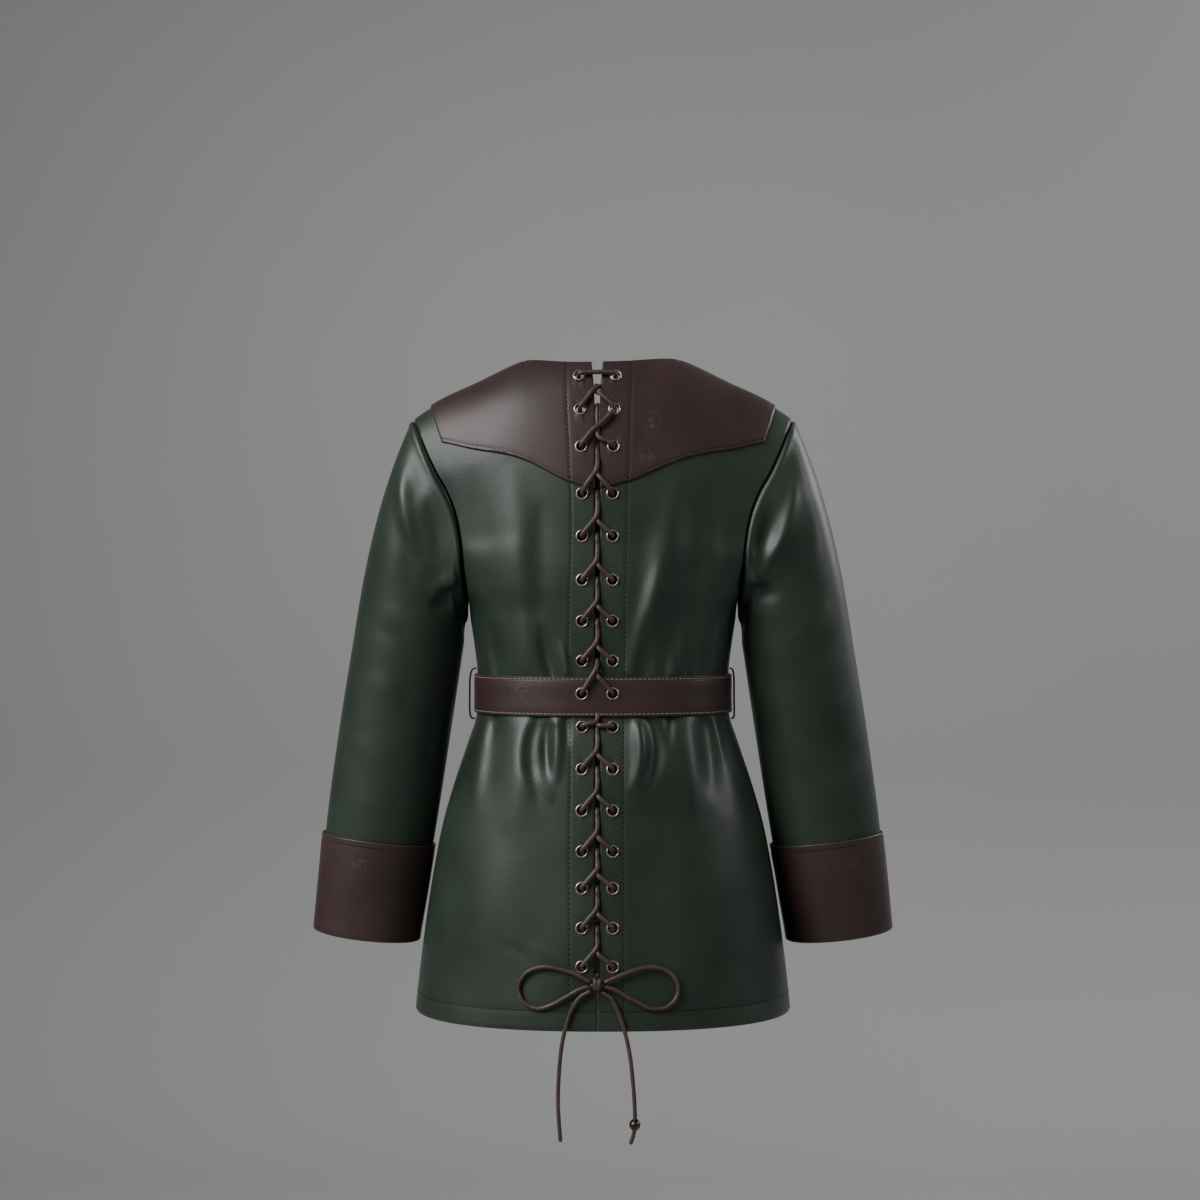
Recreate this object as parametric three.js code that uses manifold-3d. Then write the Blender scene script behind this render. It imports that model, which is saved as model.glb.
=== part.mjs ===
// A child's medieval tunic in imitation leather, laced up the centre back.
// Millimetres, +Z up, +Y is the wearer's back, +X is the wearer's left.
// The origin is level with the neck side points, on the body's middle plane, where the wearer's
// shoulders hold the tunic.
import * as THREE from 'three';
import { mergeVertices } from 'three/addons/utils/BufferGeometryUtils.js';
import Module from 'manifold-3d';

const wasm = await Module();
wasm.setup();

// ---- Driving sizes ----
const CLOTH = 2.0; // wall of the tunic's cloth
const SEAM_GAP = 0.4; // between two pieces that are sewn edge to edge
const LAY_GAP = 0.3; // between a piece and what lies on it
const ARMPIT_Z = -205;
const HEM_Z = -514;
const BACK_CHEST = 77; // depth of the back at the armpit's height
const FRONT_CHEST = 79;
const ARM_DEPTH = 52; // half the armhole's depth, front to back
const ROUNDNESS = 2.3; // power of the body's superellipse sections
const CAP_POWER = 0.7; // how squarely the back rolls over the shoulder
const SHOULDER_X = 151; // where the sleeve's seam crosses the shoulder
const NECK = { half: 64, back: 36, front: 58 }; // the neck hole, an oval seen from above
const RIDGE = { middle: 8.2, fall: 0.0024 }; // shoulder line's height is middle - fall x^2
const SHOULDER_SEAM = 0.056; // radians that the shoulder seam lies in front of the ridge
const OPENING_X = 4.5; // the laced opening lies a little to the wearer's left
const SLIT = { half: 2.2, neckHalf: 5.2, widensFrom: -110 };

const YOKE = { wall: 1.8, reach: 0.905, lift: LAY_GAP };
const BELT = { top: -249, bottom: -279.5, wall: 2.4, lift: LAY_GAP };
const BELT_LOOP = { top: -243, bottom: -285, wide: 8, wall: 1.2, bow: 3.4, lift: 0.7 };
const SLEEVE = { setIn: 0.8, elbowTop: -222, end: -456, tilt: 0.12 };
const CUFF = { top: -381, bottom: -459.5, wall: 1.6, lift: LAY_GAP, turnUp: 16 };

const EYELET = { hole: 2.75, rim: 5.3, thick: 0.9, inset: 9.5, sides: 8 };
const LACE = { radius: 1.55, sides: 6 };
const BOW_SIDES = 8;
const KNOT = { z: -478.4, wide: 5.2, deep: 4.2, tall: 5.6 };
const BEAD = { radius: 4.3, bore: 2.1, z: -583.9 };

// Half width and depths of the body below the armpit.
const BODY = [
  { z: -514, half: 149.5, back: 108, front: 108 },
  { z: -478, half: 145.6, back: 105, front: 105 },
  { z: -430, half: 139.2, back: 101, front: 101 },
  { z: -398, half: 134.0, back: 97.5, front: 97.5 },
  { z: -366, half: 127.6, back: 93, front: 93 },
  { z: -334, half: 118.4, back: 88, front: 87 },
  { z: -302, half: 107.6, back: 82, front: 82 },
  { z: -280, half: 100.8, back: 78, front: 79 },
  { z: -248, half: 100.4, back: 77, front: 78.5 },
  { z: -225, half: 103.0, back: 77, front: 79 },
  { z: -205, half: 106.0, back: 77, front: 79 },
];

// Where the sleeve's seam stands across the back, by how far up the armhole it is (0 to 1).
const ARMHOLE = [
  { rise: 0.0, x: 106 },
  { rise: 0.1, x: 107 },
  { rise: 0.2, x: 108.5 },
  { rise: 0.33, x: 110.5 },
  { rise: 0.45, x: 114.5 },
  { rise: 0.56, x: 121.5 },
  { rise: 0.66, x: 130 },
  { rise: 0.76, x: 137 },
  { rise: 0.86, x: 143 },
  { rise: 0.94, x: 147.5 },
  { rise: 1.0, x: SHOULDER_X },
];

// The yoke's lower edge: how far up the armhole's height it lies, by its place across the half back.
const YOKE_EDGE = [
  { s: 0.0, rise: 0.472 },
  { s: 0.08, rise: 0.48 },
  { s: 0.25, rise: 0.515 },
  { s: 0.54, rise: 0.624 },
  { s: 0.76, rise: 0.712 },
  { s: 0.905, rise: 0.79 },
  { s: 1.0, rise: 0.845 },
];

// Middle and half sizes of the sleeve, by the height of its middle.
const ARM = [
  { z: -470, x: 191.8, y: -14, half: 41.2, deep: 36.5 },
  { z: -446, x: 188.6, y: -12, half: 41.2, deep: 36.5 },
  { z: -366, x: 177.3, y: -7, half: 43.5, deep: 38 },
  { z: -286, x: 165.2, y: -3, half: 44.0, deep: 39 },
  { z: -222, x: 155.0, y: 0, half: 43.5, deep: 40 },
];

// Largest folds: x at the fold's top and foot, its top and foot heights, its breadth, and its lift,
// which is below zero for a trough.
const BACK_FOLDS = [
  { x: 67, foot: 72, top: -112, bottom: -200, breadth: 13, lift: 2.2 },
  { x: -50, foot: -36, top: -130, bottom: -222, breadth: 12, lift: 2.0 },
  { x: -42, foot: -20, top: -186, bottom: -247, breadth: 9, lift: 2.4 },
  { x: 39, foot: 44, top: -205, bottom: -248, breadth: 9, lift: -2.6 },
  { x: 86, foot: 90, top: -216, bottom: -248, breadth: 8, lift: -2.0 },
  { x: -66, foot: -74, top: -214, bottom: -248, breadth: 10, lift: -2.2 },
  { x: 82, foot: 90, top: -281, bottom: -352, breadth: 8, lift: -3.0 },
  { x: 94, foot: 106, top: -284, bottom: -362, breadth: 8, lift: 2.6 },
  { x: 58, foot: 66, top: -282, bottom: -380, breadth: 11, lift: 2.8 },
  { x: 42, foot: 45, top: -284, bottom: -350, breadth: 9, lift: -2.6 },
  { x: -27, foot: -30, top: -284, bottom: -352, breadth: 9, lift: 2.8 },
  { x: -54, foot: -66, top: -282, bottom: -372, breadth: 10, lift: 2.2 },
  { x: -80, foot: -92, top: -282, bottom: -356, breadth: 9, lift: -3.0 },
  { x: -94, foot: -112, top: -284, bottom: -380, breadth: 9, lift: 2.4 },
];
const FRONT_FOLDS = [
  { x: 52, foot: 40, top: -120, bottom: -232, breadth: 14, lift: 2.2 },
  { x: -58, foot: -48, top: -112, bottom: -226, breadth: 14, lift: 2.0 },
  { x: 74, foot: 80, top: -208, bottom: -248, breadth: 10, lift: -2.2 },
  { x: -20, foot: -26, top: -196, bottom: -248, breadth: 12, lift: -2.0 },
  { x: -80, foot: -84, top: -210, bottom: -248, breadth: 9, lift: -2.2 },
  { x: 84, foot: 98, top: -281, bottom: -366, breadth: 11, lift: 2.8 },
  { x: 50, foot: 56, top: -282, bottom: -346, breadth: 10, lift: -2.8 },
  { x: 14, foot: 20, top: -283, bottom: -386, breadth: 13, lift: 2.6 },
  { x: -30, foot: -36, top: -281, bottom: -352, breadth: 10, lift: -2.8 },
  { x: -62, foot: -72, top: -284, bottom: -392, breadth: 13, lift: 2.8 },
  { x: -92, foot: -106, top: -282, bottom: -352, breadth: 9, lift: -2.4 },
];

// The lacing, from the neck down. upper: where the strand bound for the wearer's left leaves the
// slit; bend: where it turns aside; lower: where the other strand leaves the slit; deck: the height
// of the pieces that the eyelets sit on, above the back panel; crossed: the height of the piece that
// the strands cross, where it is another one.
const YOKE_DECK = YOKE.lift + YOKE.wall;
const BELT_DECK = BELT.lift + BELT.wall;
const LACING = [
  { z: -17, deck: YOKE_DECK },
  { z: -43.6, upper: -25.5, bend: -30.5, lower: -34.5, deck: YOKE_DECK },
  { z: -72.7, upper: -53, bend: -57.5, lower: -62, deck: YOKE_DECK },
  { z: -108.8, upper: -82, bend: -90, lower: -94.5, deck: 0, crossed: YOKE_DECK },
  { z: -141.5, upper: -117, bend: -125.5, lower: -130, deck: 0 },
  { z: -175.1, upper: -151, bend: -159, lower: -163.5, deck: 0 },
  { z: -206.5, upper: -184.5, bend: -190.5, lower: -195, deck: 0 },
  { z: -237, upper: -215.5, bend: -221.5, lower: -226, deck: 0 },
  { z: -261.9, upper: -239.8, bend: -241.3, lower: -244.8, deck: BELT_DECK },
  { z: -287.4, upper: -281.4, bend: -282.4, lower: -286.4, deck: 0 },
  { z: -319, upper: -296.5, bend: -304, lower: -308.5, deck: 0 },
  { z: -350, upper: -328, bend: -334.5, lower: -339, deck: 0 },
  { z: -380.4, upper: -359, bend: -365, lower: -369.5, deck: 0 },
  { z: -407.7, upper: -389.4, bend: -393, lower: -397.5, deck: 0 },
  { z: -437.3, upper: -416.7, bend: -422, lower: -426.5, deck: 0 },
  { z: -466, upper: -446.3, bend: -451, lower: -455.5, deck: 0 },
];

// Routes of the bow and tails from the knot: across, height from the knot, and height off the cloth.
const BOW_LEFT = [
  { x: 5.6, z: 1.6, off: 4.6 },
  { x: 16.5, z: 7.5, off: 4.2 },
  { x: 29, z: 11.2, off: 4.0 },
  { x: 41, z: 12, off: 3.6 },
  { x: 52.4, z: 7.5, off: 3.0 },
  { x: 58.4, z: -2.2, off: 2.6 },
  { x: 55.5, z: -13.5, off: 2.6 },
  { x: 45, z: -18.7, off: 2.8 },
  { x: 33.7, z: -15.7, off: 3.0 },
  { x: 22, z: -9, off: 3.6 },
  { x: 12.7, z: -3.8, off: 4.2 },
  { x: 5.9, z: -1.8, off: 4.6 },
];
const BOW_RIGHT = [
  { x: -5.6, z: 1.4, off: 4.6 },
  { x: -18, z: 6.6, off: 4.2 },
  { x: -32, z: 11.4, off: 4.0 },
  { x: -43.5, z: 11.8, off: 3.6 },
  { x: -54, z: 7.2, off: 3.0 },
  { x: -60, z: -1.6, off: 2.6 },
  { x: -59, z: -11, off: 2.6 },
  { x: -51.5, z: -17.6, off: 2.8 },
  { x: -40, z: -18.2, off: 3.0 },
  { x: -26, z: -11.8, off: 3.6 },
  { x: -14, z: -4.8, off: 4.2 },
  { x: -5.9, z: -1.9, off: 4.6 },
];
const TAIL_LEFT = [
  { x: 4.6, z: -4.9, off: 4.6 },
  { x: 12.5, z: -9.5, off: 4.0 },
  { x: 18.8, z: -18.5, off: 2.6 },
  { x: 23.2, z: -31.4, off: 2.6 },
  { x: 26.6, z: -48, off: 2.4 },
  { x: 28.6, z: -68, off: 1.2 },
  { x: 29.4, z: -88, off: 0 },
  { x: 28.8, z: -104, off: -1 },
  { x: 27.7, z: -118.5, off: -1.6 },
];
const TAIL_RIGHT = [
  { x: -3.2, z: -5.7, off: 4.6 },
  { x: -9.6, z: -10, off: 4.0 },
  { x: -15.4, z: -20, off: 2.6 },
  { x: -20.2, z: -34, off: 2.6 },
  { x: -24.2, z: -52, off: 2.2 },
  { x: -26.6, z: -72, off: 1.0 },
  { x: -28, z: -90, off: 0 },
  { x: -28.3, z: -105.5, off: -0.8 },
  { x: -27.2, z: -113.5, off: -1.2 },
  { x: -25, z: -120, off: -1.4 },
];

// ---- Small helpers ----
const mix = (a, b, t) => a + (b - a) * t;
const clamp01 = (t) => Math.min(1, Math.max(0, t));
const ease = (from, to, t) => {
  const u = clamp01((t - from) / (to - from));
  return u * u * (3 - 2 * u);
};

// A column of a table, read at a place between its rows along a smooth curve.
function readTable(table, key, at, column) {
  const last = table.length - 1;
  let i = 0;
  while (i < last - 1 && at > table[i + 1][key]) i += 1;
  const [a, b] = [table[i], table[i + 1]];
  const before = table[Math.max(0, i - 1)];
  const after = table[Math.min(last, i + 2)];
  const step = b[key] - a[key];
  const t = clamp01((at - a[key]) / step);
  const slopeA = ((b[column] - before[column]) / (b[key] - before[key])) * step;
  const slopeB = ((after[column] - a[column]) / (after[key] - a[key])) * step;
  const t2 = t * t;
  const t3 = t2 * t;
  return (
    (2 * t3 - 3 * t2 + 1) * a[column] + (t3 - 2 * t2 + t) * slopeA
    + (3 * t2 - 2 * t3) * b[column] + (t3 - t2) * slopeB
  );
}

// ---- The tunic's form ----
const ridgeHeight = (x) => RIDGE.middle - RIDGE.fall * x * x;
const armholeX = (rise) => readTable(ARMHOLE, 'rise', rise, 'x');

function slitHalf(z) {
  return mix(SLIT.half, SLIT.neckHalf, clamp01((z - SLIT.widensFrom) / -SLIT.widensFrom) ** 1.5);
}

// Depth of the chest at a place across it, for a section some way up the armhole.
function chestDepth(s, rise, chest) {
  const side = ARM_DEPTH * ease(-0.12, 0.3, rise) * ease(0, 0.12, rise);
  const power = mix(ROUNDNESS, 1, ease(0, 0.35, rise));
  return side + (chest - side) * Math.max(0, 1 - Math.abs(s) ** ROUNDNESS) ** (1 / power);
}

function foldLift(folds, x, z) {
  let lift = 0;
  for (const fold of folds) {
    const t = (fold.top - z) / (fold.top - fold.bottom);
    if (t <= 0 || t >= 1) continue;
    const away = (x - mix(fold.x, fold.foot, t)) / fold.breadth;
    lift += fold.lift * Math.sin(Math.PI * Math.sqrt(t)) * Math.exp(-away * away);
  }
  return lift;
}

// A point above the armpit: s runs across from -1 to 1, turn from 0 at the back of the armpit's
// height over the shoulder to PI at the front.
function chestPoint(s, turn) {
  const rise = Math.sin(turn);
  const over = Math.cos(turn);
  const x = s * armholeX(rise);
  const z = ARMPIT_Z + (ridgeHeight(x) - ARMPIT_Z) * rise;
  const chest = over >= 0 ? BACK_CHEST : FRONT_CHEST;
  const y = Math.sign(over) * Math.abs(over) ** CAP_POWER * chestDepth(s, rise, chest);
  return new THREE.Vector3(x, y, z);
}

// A point below the armpit, on the back (side 1) or the front (side -1).
function skirtPoint(s, z, side) {
  const depth = readTable(BODY, 'z', z, side > 0 ? 'back' : 'front');
  const x = s * readTable(BODY, 'z', z, 'half');
  const y = side * depth * Math.max(0, 1 - Math.abs(s) ** ROUNDNESS) ** (1 / ROUNDNESS);
  return new THREE.Vector3(x, y, z);
}

// The back's depth at a place seen from behind, with its folds.
function backDepth(x, z) {
  let y = 0;
  if (z < ARMPIT_Z) {
    y = skirtPoint(x / readTable(BODY, 'z', z, 'half'), z, 1).y;
  } else {
    const rise = (z - ARMPIT_Z) / (ridgeHeight(x) - ARMPIT_Z);
    const over = Math.sqrt(Math.max(0, 1 - rise * rise));
    y = over ** CAP_POWER * chestDepth(x / armholeX(rise), rise, BACK_CHEST);
  }
  return y + foldLift(BACK_FOLDS, x, z);
}

function backNormal(x, z) {
  const h = 1;
  const slopeX = (backDepth(x + h, z) - backDepth(x - h, z)) / (2 * h);
  const slopeZ = (backDepth(x, z + h) - backDepth(x, z - h)) / (2 * h);
  return new THREE.Vector3(-slopeX, 1, -slopeZ).normalize();
}

// A place on the back, moved out from the cloth. Below the hem it hangs straight down.
function onBack(x, z, off) {
  const held = Math.max(z, HEM_Z + 2);
  const point = new THREE.Vector3(x, backDepth(x, held), held);
  point.addScaledVector(backNormal(x, held), off);
  point.z += z - held;
  return point;
}

// ---- Walls ----
// Normals of a grid of points, turned away from a point inside the tunic.
function gridNormals(grid, closed, inside) {
  const rows = grid.length;
  const cols = grid[0].length;
  let facing = 0;
  const normals = grid.map((row, j) => row.map((point, i) => {
    const left = closed ? row[(i + cols - 1) % cols] : row[Math.max(0, i - 1)];
    const right = closed ? row[(i + 1) % cols] : row[Math.min(cols - 1, i + 1)];
    const below = grid[Math.max(0, j - 1)][i];
    const above = grid[Math.min(rows - 1, j + 1)][i];
    const normal = right.clone().sub(left).cross(above.clone().sub(below)).normalize();
    facing += normal.dot(point.clone().sub(inside).normalize());
    return normal;
  }));
  if (facing < 0) normals.forEach((row) => row.forEach((normal) => normal.negate()));
  return normals;
}

function closedGeometry(positions, triangles) {
  const geometry = new THREE.BufferGeometry();
  geometry.setAttribute('position', new THREE.Float32BufferAttribute(positions, 3));
  geometry.setIndex(triangles);
  const at = (i) => new THREE.Vector3(...positions.slice(3 * i, 3 * i + 3));
  let volume = 0;
  for (let i = 0; i < triangles.length; i += 3) {
    volume += at(triangles[i]).dot(at(triangles[i + 1]).cross(at(triangles[i + 2])));
  }
  if (volume < 0) {
    for (let i = 0; i < triangles.length; i += 3) {
      [triangles[i], triangles[i + 1]] = [triangles[i + 1], triangles[i]];
    }
    geometry.setIndex(triangles);
  }
  geometry.computeVertexNormals();
  return geometry;
}

// A wall between two offsets from a grid of points. A closed grid goes round and joins up.
function wall(grid, normals, inner, outer, closed = false) {
  const rows = grid.length;
  const cols = grid[0].length;
  const positions = [];
  for (const off of [inner, outer]) {
    grid.forEach((row, j) => row.forEach((point, i) => {
      const place = point.clone().addScaledVector(normals[j][i], off);
      positions.push(place.x, place.y, place.z);
    }));
  }
  const triangles = [];
  const quad = (a, b, c, d) => triangles.push(a, b, c, a, c, d);
  const index = (layer, j, i) => layer * rows * cols + j * cols + (i % cols);
  const across = closed ? cols : cols - 1;
  for (let i = 0; i < across; i += 1) {
    for (let j = 0; j < rows - 1; j += 1) {
      quad(index(1, j, i), index(1, j, i + 1), index(1, j + 1, i + 1), index(1, j + 1, i));
      quad(index(0, j, i), index(0, j + 1, i), index(0, j + 1, i + 1), index(0, j, i + 1));
    }
    quad(index(0, 0, i), index(0, 0, i + 1), index(1, 0, i + 1), index(1, 0, i));
    const top = rows - 1;
    quad(index(1, top, i), index(1, top, i + 1), index(0, top, i + 1), index(0, top, i));
  }
  if (!closed) {
    for (let j = 0; j < rows - 1; j += 1) {
      const end = cols - 1;
      quad(index(0, j, 0), index(1, j, 0), index(1, j + 1, 0), index(0, j + 1, 0));
      quad(index(1, j, end), index(0, j, end), index(0, j + 1, end), index(1, j + 1, end));
    }
  }
  return closedGeometry(positions, triangles);
}

// ---- Cutting ----
function toSolid(geometry) {
  const bare = geometry.clone();
  bare.deleteAttribute('normal');
  bare.deleteAttribute('uv');
  const merged = mergeVertices(bare, 1e-4);
  return new wasm.Manifold(new wasm.Mesh({
    numProp: 3,
    vertProperties: new Float32Array(merged.attributes.position.array),
    triVerts: new Uint32Array(merged.index.array),
  }));
}

function toGeometry(solid) {
  const mesh = solid.getMesh();
  const geometry = new THREE.BufferGeometry();
  geometry.setAttribute('position', new THREE.BufferAttribute(mesh.vertProperties, 3));
  geometry.setIndex(new THREE.BufferAttribute(mesh.triVerts, 1));
  geometry.computeVertexNormals();
  return geometry;
}

const FORWARD = new THREE.Vector3(0, 1, 0);

// Moves a shape whose axis is Y to a place on the back, its axis along the cloth's normal.
function seatOnBack(geometry, x, z, off) {
  const turn = new THREE.Quaternion().setFromUnitVectors(FORWARD, backNormal(x, z));
  const place = onBack(x, z, off);
  return geometry.applyMatrix4(new THREE.Matrix4().compose(place, turn, new THREE.Vector3(1, 1, 1)));
}

const eyeletX = (row, hand) => OPENING_X + hand * (slitHalf(row.z) + EYELET.inset);

// Cuts the round eyelet holes of some rows of the lacing through a wall.
function punch(geometry, rows, hands) {
  let solid = toSolid(geometry);
  for (const row of rows) {
    for (const hand of hands) {
      const punchPin = new THREE.CylinderGeometry(EYELET.hole, EYELET.hole, 16, EYELET.sides);
      seatOnBack(punchPin, eyeletX(row, hand), row.z, 0);
      solid = solid.subtract(toSolid(punchPin));
    }
  }
  return toGeometry(solid);
}

// ---- Body panels ----
const NECK_COLUMNS = 4; // from the middle to the neck's side
const YOKE_COLUMNS = 5; // from there to the yoke's end
const SIDE_COLUMNS = 3; // from there to the side seam
const SKIRT_ROWS = 10; // from the hem to the belt
const WAIST_ROWS = 3; // from the belt to the armpit
const CHEST_ROWS = 4; // from the armpit to the yoke's edge
const YOKE_ROWS = 5; // from there over the shoulder
const NECK_COLUMN = NECK.half / SHOULDER_X;
const INSIDE = new THREE.Vector3(0, 0, ARMPIT_Z);

// Places across half a panel, with a column at the neck's side and one at the yoke's end.
function columns(hand) {
  const list = [];
  for (let i = 0; i < NECK_COLUMNS; i += 1) {
    list.push(NECK_COLUMN * Math.sin((Math.PI / 2) * (i / NECK_COLUMNS)));
  }
  for (let i = 0; i < YOKE_COLUMNS; i += 1) {
    list.push(mix(NECK_COLUMN, YOKE.reach, i / YOKE_COLUMNS));
  }
  for (let i = 0; i <= SIDE_COLUMNS; i += 1) {
    list.push(mix(YOKE.reach, 1, Math.sin((Math.PI / 2) * (i / SIDE_COLUMNS))));
  }
  return list.map((s) => hand * s);
}

// How far a column runs over the shoulder: to the seam, or to the neck's oval where that comes first.
function columnEnd(s, side) {
  const seam = Math.PI / 2 + SHOULDER_SEAM;
  const reach = side > 0 ? NECK.back : NECK.front;
  let near = side > 0 ? 0 : Math.PI;
  let far = seam;
  const inNeck = (turn) => {
    const point = chestPoint(s, turn);
    return (point.x / NECK.half) ** 2 + (point.y / reach) ** 2 < 0.9999;
  };
  if (!inNeck(far)) return far;
  for (let i = 0; i < 30; i += 1) {
    const middle = (near + far) / 2;
    if (inNeck(middle)) far = middle;
    else near = middle;
  }
  return near;
}

// A panel's points and normals from the hem to its top, as rows of places across. One row past the
// top gives the top's normals and is then dropped.
function panelForm(list, side, folds, edge) {
  const place = (s, point) => {
    const x = edge(s, point);
    const lift = foldLift(folds, x, point.z) * (1 - Math.abs(s) ** 6);
    return new THREE.Vector3(x, point.y + side * (lift + SEAM_GAP / 2), point.z);
  };
  const heights = [];
  for (let j = 0; j <= SKIRT_ROWS; j += 1) heights.push(mix(HEM_Z, BELT.bottom, j / SKIRT_ROWS));
  for (let j = 0; j < WAIST_ROWS; j += 1) heights.push(mix(BELT.top, ARMPIT_Z, j / WAIST_ROWS));
  const grid = heights.map((z) => list.map((s) => place(s, skirtPoint(s, z, side))));
  const start = side > 0 ? 0 : Math.PI;
  const yokeTurn = (s) => {
    const turn = Math.asin(readTable(YOKE_EDGE, 's', Math.abs(s), 'rise'));
    return side > 0 ? turn : Math.PI - turn;
  };
  for (let j = 0; j < CHEST_ROWS; j += 1) {
    grid.push(list.map((s) => place(s, chestPoint(s, mix(start, yokeTurn(s), j / CHEST_ROWS)))));
  }
  for (let j = 0; j <= YOKE_ROWS + 1; j += 1) {
    const turns = list.map((s) => mix(yokeTurn(s), columnEnd(s, side), j / YOKE_ROWS));
    grid.push(list.map((s, i) => place(s, chestPoint(s, turns[i]))));
  }
  const normals = gridNormals(grid, false, INSIDE);
  return { grid: grid.slice(0, -1), normals: normals.slice(0, -1) };
}

// Holds the panel's first column at the slit's edge and lets the rest follow.
function slitEdge(hand) {
  return (s, point) => {
    const edge = OPENING_X + hand * slitHalf(point.z);
    return mix(point.x, edge, clamp01(1 - Math.abs(s) / NECK_COLUMN));
  };
}

const BACK = {
  1: panelForm(columns(1), 1, BACK_FOLDS, slitEdge(1)),
  '-1': panelForm(columns(-1), 1, BACK_FOLDS, slitEdge(-1)),
};
const FRONT = panelForm(
  [...columns(-1).slice(1).reverse(), ...columns(1)], -1, FRONT_FOLDS, (s, point) => point.x,
);

function backPanel(hand) {
  const { grid, normals } = BACK[hand];
  return punch(wall(grid, normals, -CLOTH, 0), LACING, [hand]);
}

// The yoke lies on the back panel's own points, moved out.
function yoke(hand) {
  const first = -(YOKE_ROWS + 1);
  const share = (rows) => rows.slice(first).map((row) => row.slice(0, NECK_COLUMNS + YOKE_COLUMNS + 1));
  const { grid, normals } = BACK[hand];
  const plain = wall(share(grid), share(normals), YOKE.lift, YOKE_DECK);
  return punch(plain, LACING.filter((row) => row.deck === YOKE_DECK), [hand]);
}

// ---- Sleeves and cuffs ----
const SLEEVE_COLUMNS = 16;
const CAP_ROWS = 6;
const ARM_ROWS = 7;

// A ring round the arm: outward at angle 0, back at a quarter turn.
function armPoint(hand, angle, z, off = 0) {
  const half = readTable(ARM, 'z', z, 'half') + off;
  const deep = readTable(ARM, 'z', z, 'deep') + off;
  const x = readTable(ARM, 'z', z, 'x') + half * Math.cos(angle);
  const y = readTable(ARM, 'z', z, 'y') + deep * Math.sin(angle);
  return new THREE.Vector3(hand * x, y, z + SLEEVE.tilt * half * Math.cos(angle));
}

// The cap leaves the armhole outwards and bends down into the arm's first ring.
function capPoint(hand, angle, t) {
  const turn = (Math.PI - angle) / 2;
  const start = chestPoint(1, turn);
  start.x = hand * (start.x + SLEEVE.setIn);
  const end = armPoint(hand, angle, SLEEVE.elbowTop);
  const span = start.distanceTo(end);
  const under = (1 - Math.cos(angle)) / 2;
  const leave = new THREE.Vector3(hand * mix(0.42, 0.72, under), 0.2 * Math.sin(angle), -0.9);
  const arrive = new THREE.Vector3(hand * 0.15, -0.05, -0.99);
  const t2 = t * t;
  const t3 = t2 * t;
  return start.multiplyScalar(2 * t3 - 3 * t2 + 1)
    .addScaledVector(leave.normalize(), (t3 - 2 * t2 + t) * span)
    .addScaledVector(end, 3 * t2 - 2 * t3)
    .addScaledVector(arrive.normalize(), (t3 - t2) * span);
}

// The normal of the body's cloth at its armhole.
function armholeNormal(hand, turn) {
  const across = chestPoint(1, turn).sub(chestPoint(0.97, turn));
  const along = chestPoint(1, turn + 0.02).sub(chestPoint(1, turn - 0.02));
  const normal = along.cross(across).normalize();
  normal.x *= hand;
  return normal;
}

const ringAngles = Array.from({ length: SLEEVE_COLUMNS }, (_, i) => (
  Math.PI - (2 * Math.PI * (i + 0.5)) / SLEEVE_COLUMNS
));

function sleeve(hand) {
  const grid = [];
  for (let j = 0; j < CAP_ROWS; j += 1) {
    grid.push(ringAngles.map((angle) => capPoint(hand, angle, j / CAP_ROWS)));
  }
  for (let j = 0; j <= ARM_ROWS; j += 1) {
    const z = mix(SLEEVE.elbowTop, SLEEVE.end, j / ARM_ROWS);
    grid.push(ringAngles.map((angle) => armPoint(hand, angle, z)));
  }
  const middle = armPoint(hand, Math.PI / 2, SLEEVE.elbowTop - 40);
  middle.y = 0;
  const normals = gridNormals(grid, true, middle);
  // Over the shoulder the sleeve's edge stands face to face with the body's.
  ringAngles.forEach((angle, i) => {
    const own = ease(0.1, 0.5, (1 - Math.cos(angle)) / 2);
    normals[0][i].lerp(armholeNormal(hand, (Math.PI - angle) / 2), 1 - own).normalize();
  });
  return wall(grid, normals, -CLOTH, 0, true);
}

// The cuff is a band turned up over the sleeve's end: its section runs down outside, round the
// fold and a short way up inside.
function cuff(hand) {
  const out = CUFF.lift;
  const back = -CLOTH - CUFF.lift;
  const section = [
    { z: CUFF.top, off: out },
    { z: CUFF.top, off: out + CUFF.wall },
    { z: mix(CUFF.top, CUFF.bottom, 0.5), off: out + CUFF.wall + 0.5 },
    { z: CUFF.bottom + 2, off: out + CUFF.wall },
    { z: CUFF.bottom, off: -CLOTH / 2 },
    { z: CUFF.bottom + 2, off: back - CUFF.wall },
    { z: CUFF.bottom + CUFF.turnUp, off: back - CUFF.wall },
    { z: CUFF.bottom + CUFF.turnUp, off: back },
    { z: SLEEVE.end - LAY_GAP * 2, off: back },
    { z: SLEEVE.end - LAY_GAP * 2, off: out },
  ];
  const positions = [];
  for (const angle of ringAngles) {
    for (const { z, off } of section) positions.push(...armPoint(hand, angle, z, off).toArray());
  }
  const triangles = [];
  const count = section.length;
  for (let i = 0; i < SLEEVE_COLUMNS; i += 1) {
    for (let k = 0; k < count; k += 1) {
      const a = i * count + k;
      const b = i * count + ((k + 1) % count);
      const c = ((i + 1) % SLEEVE_COLUMNS) * count + ((k + 1) % count);
      const d = ((i + 1) % SLEEVE_COLUMNS) * count + k;
      triangles.push(a, b, c, a, c, d);
    }
  }
  return closedGeometry(positions, triangles);
}

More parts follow.
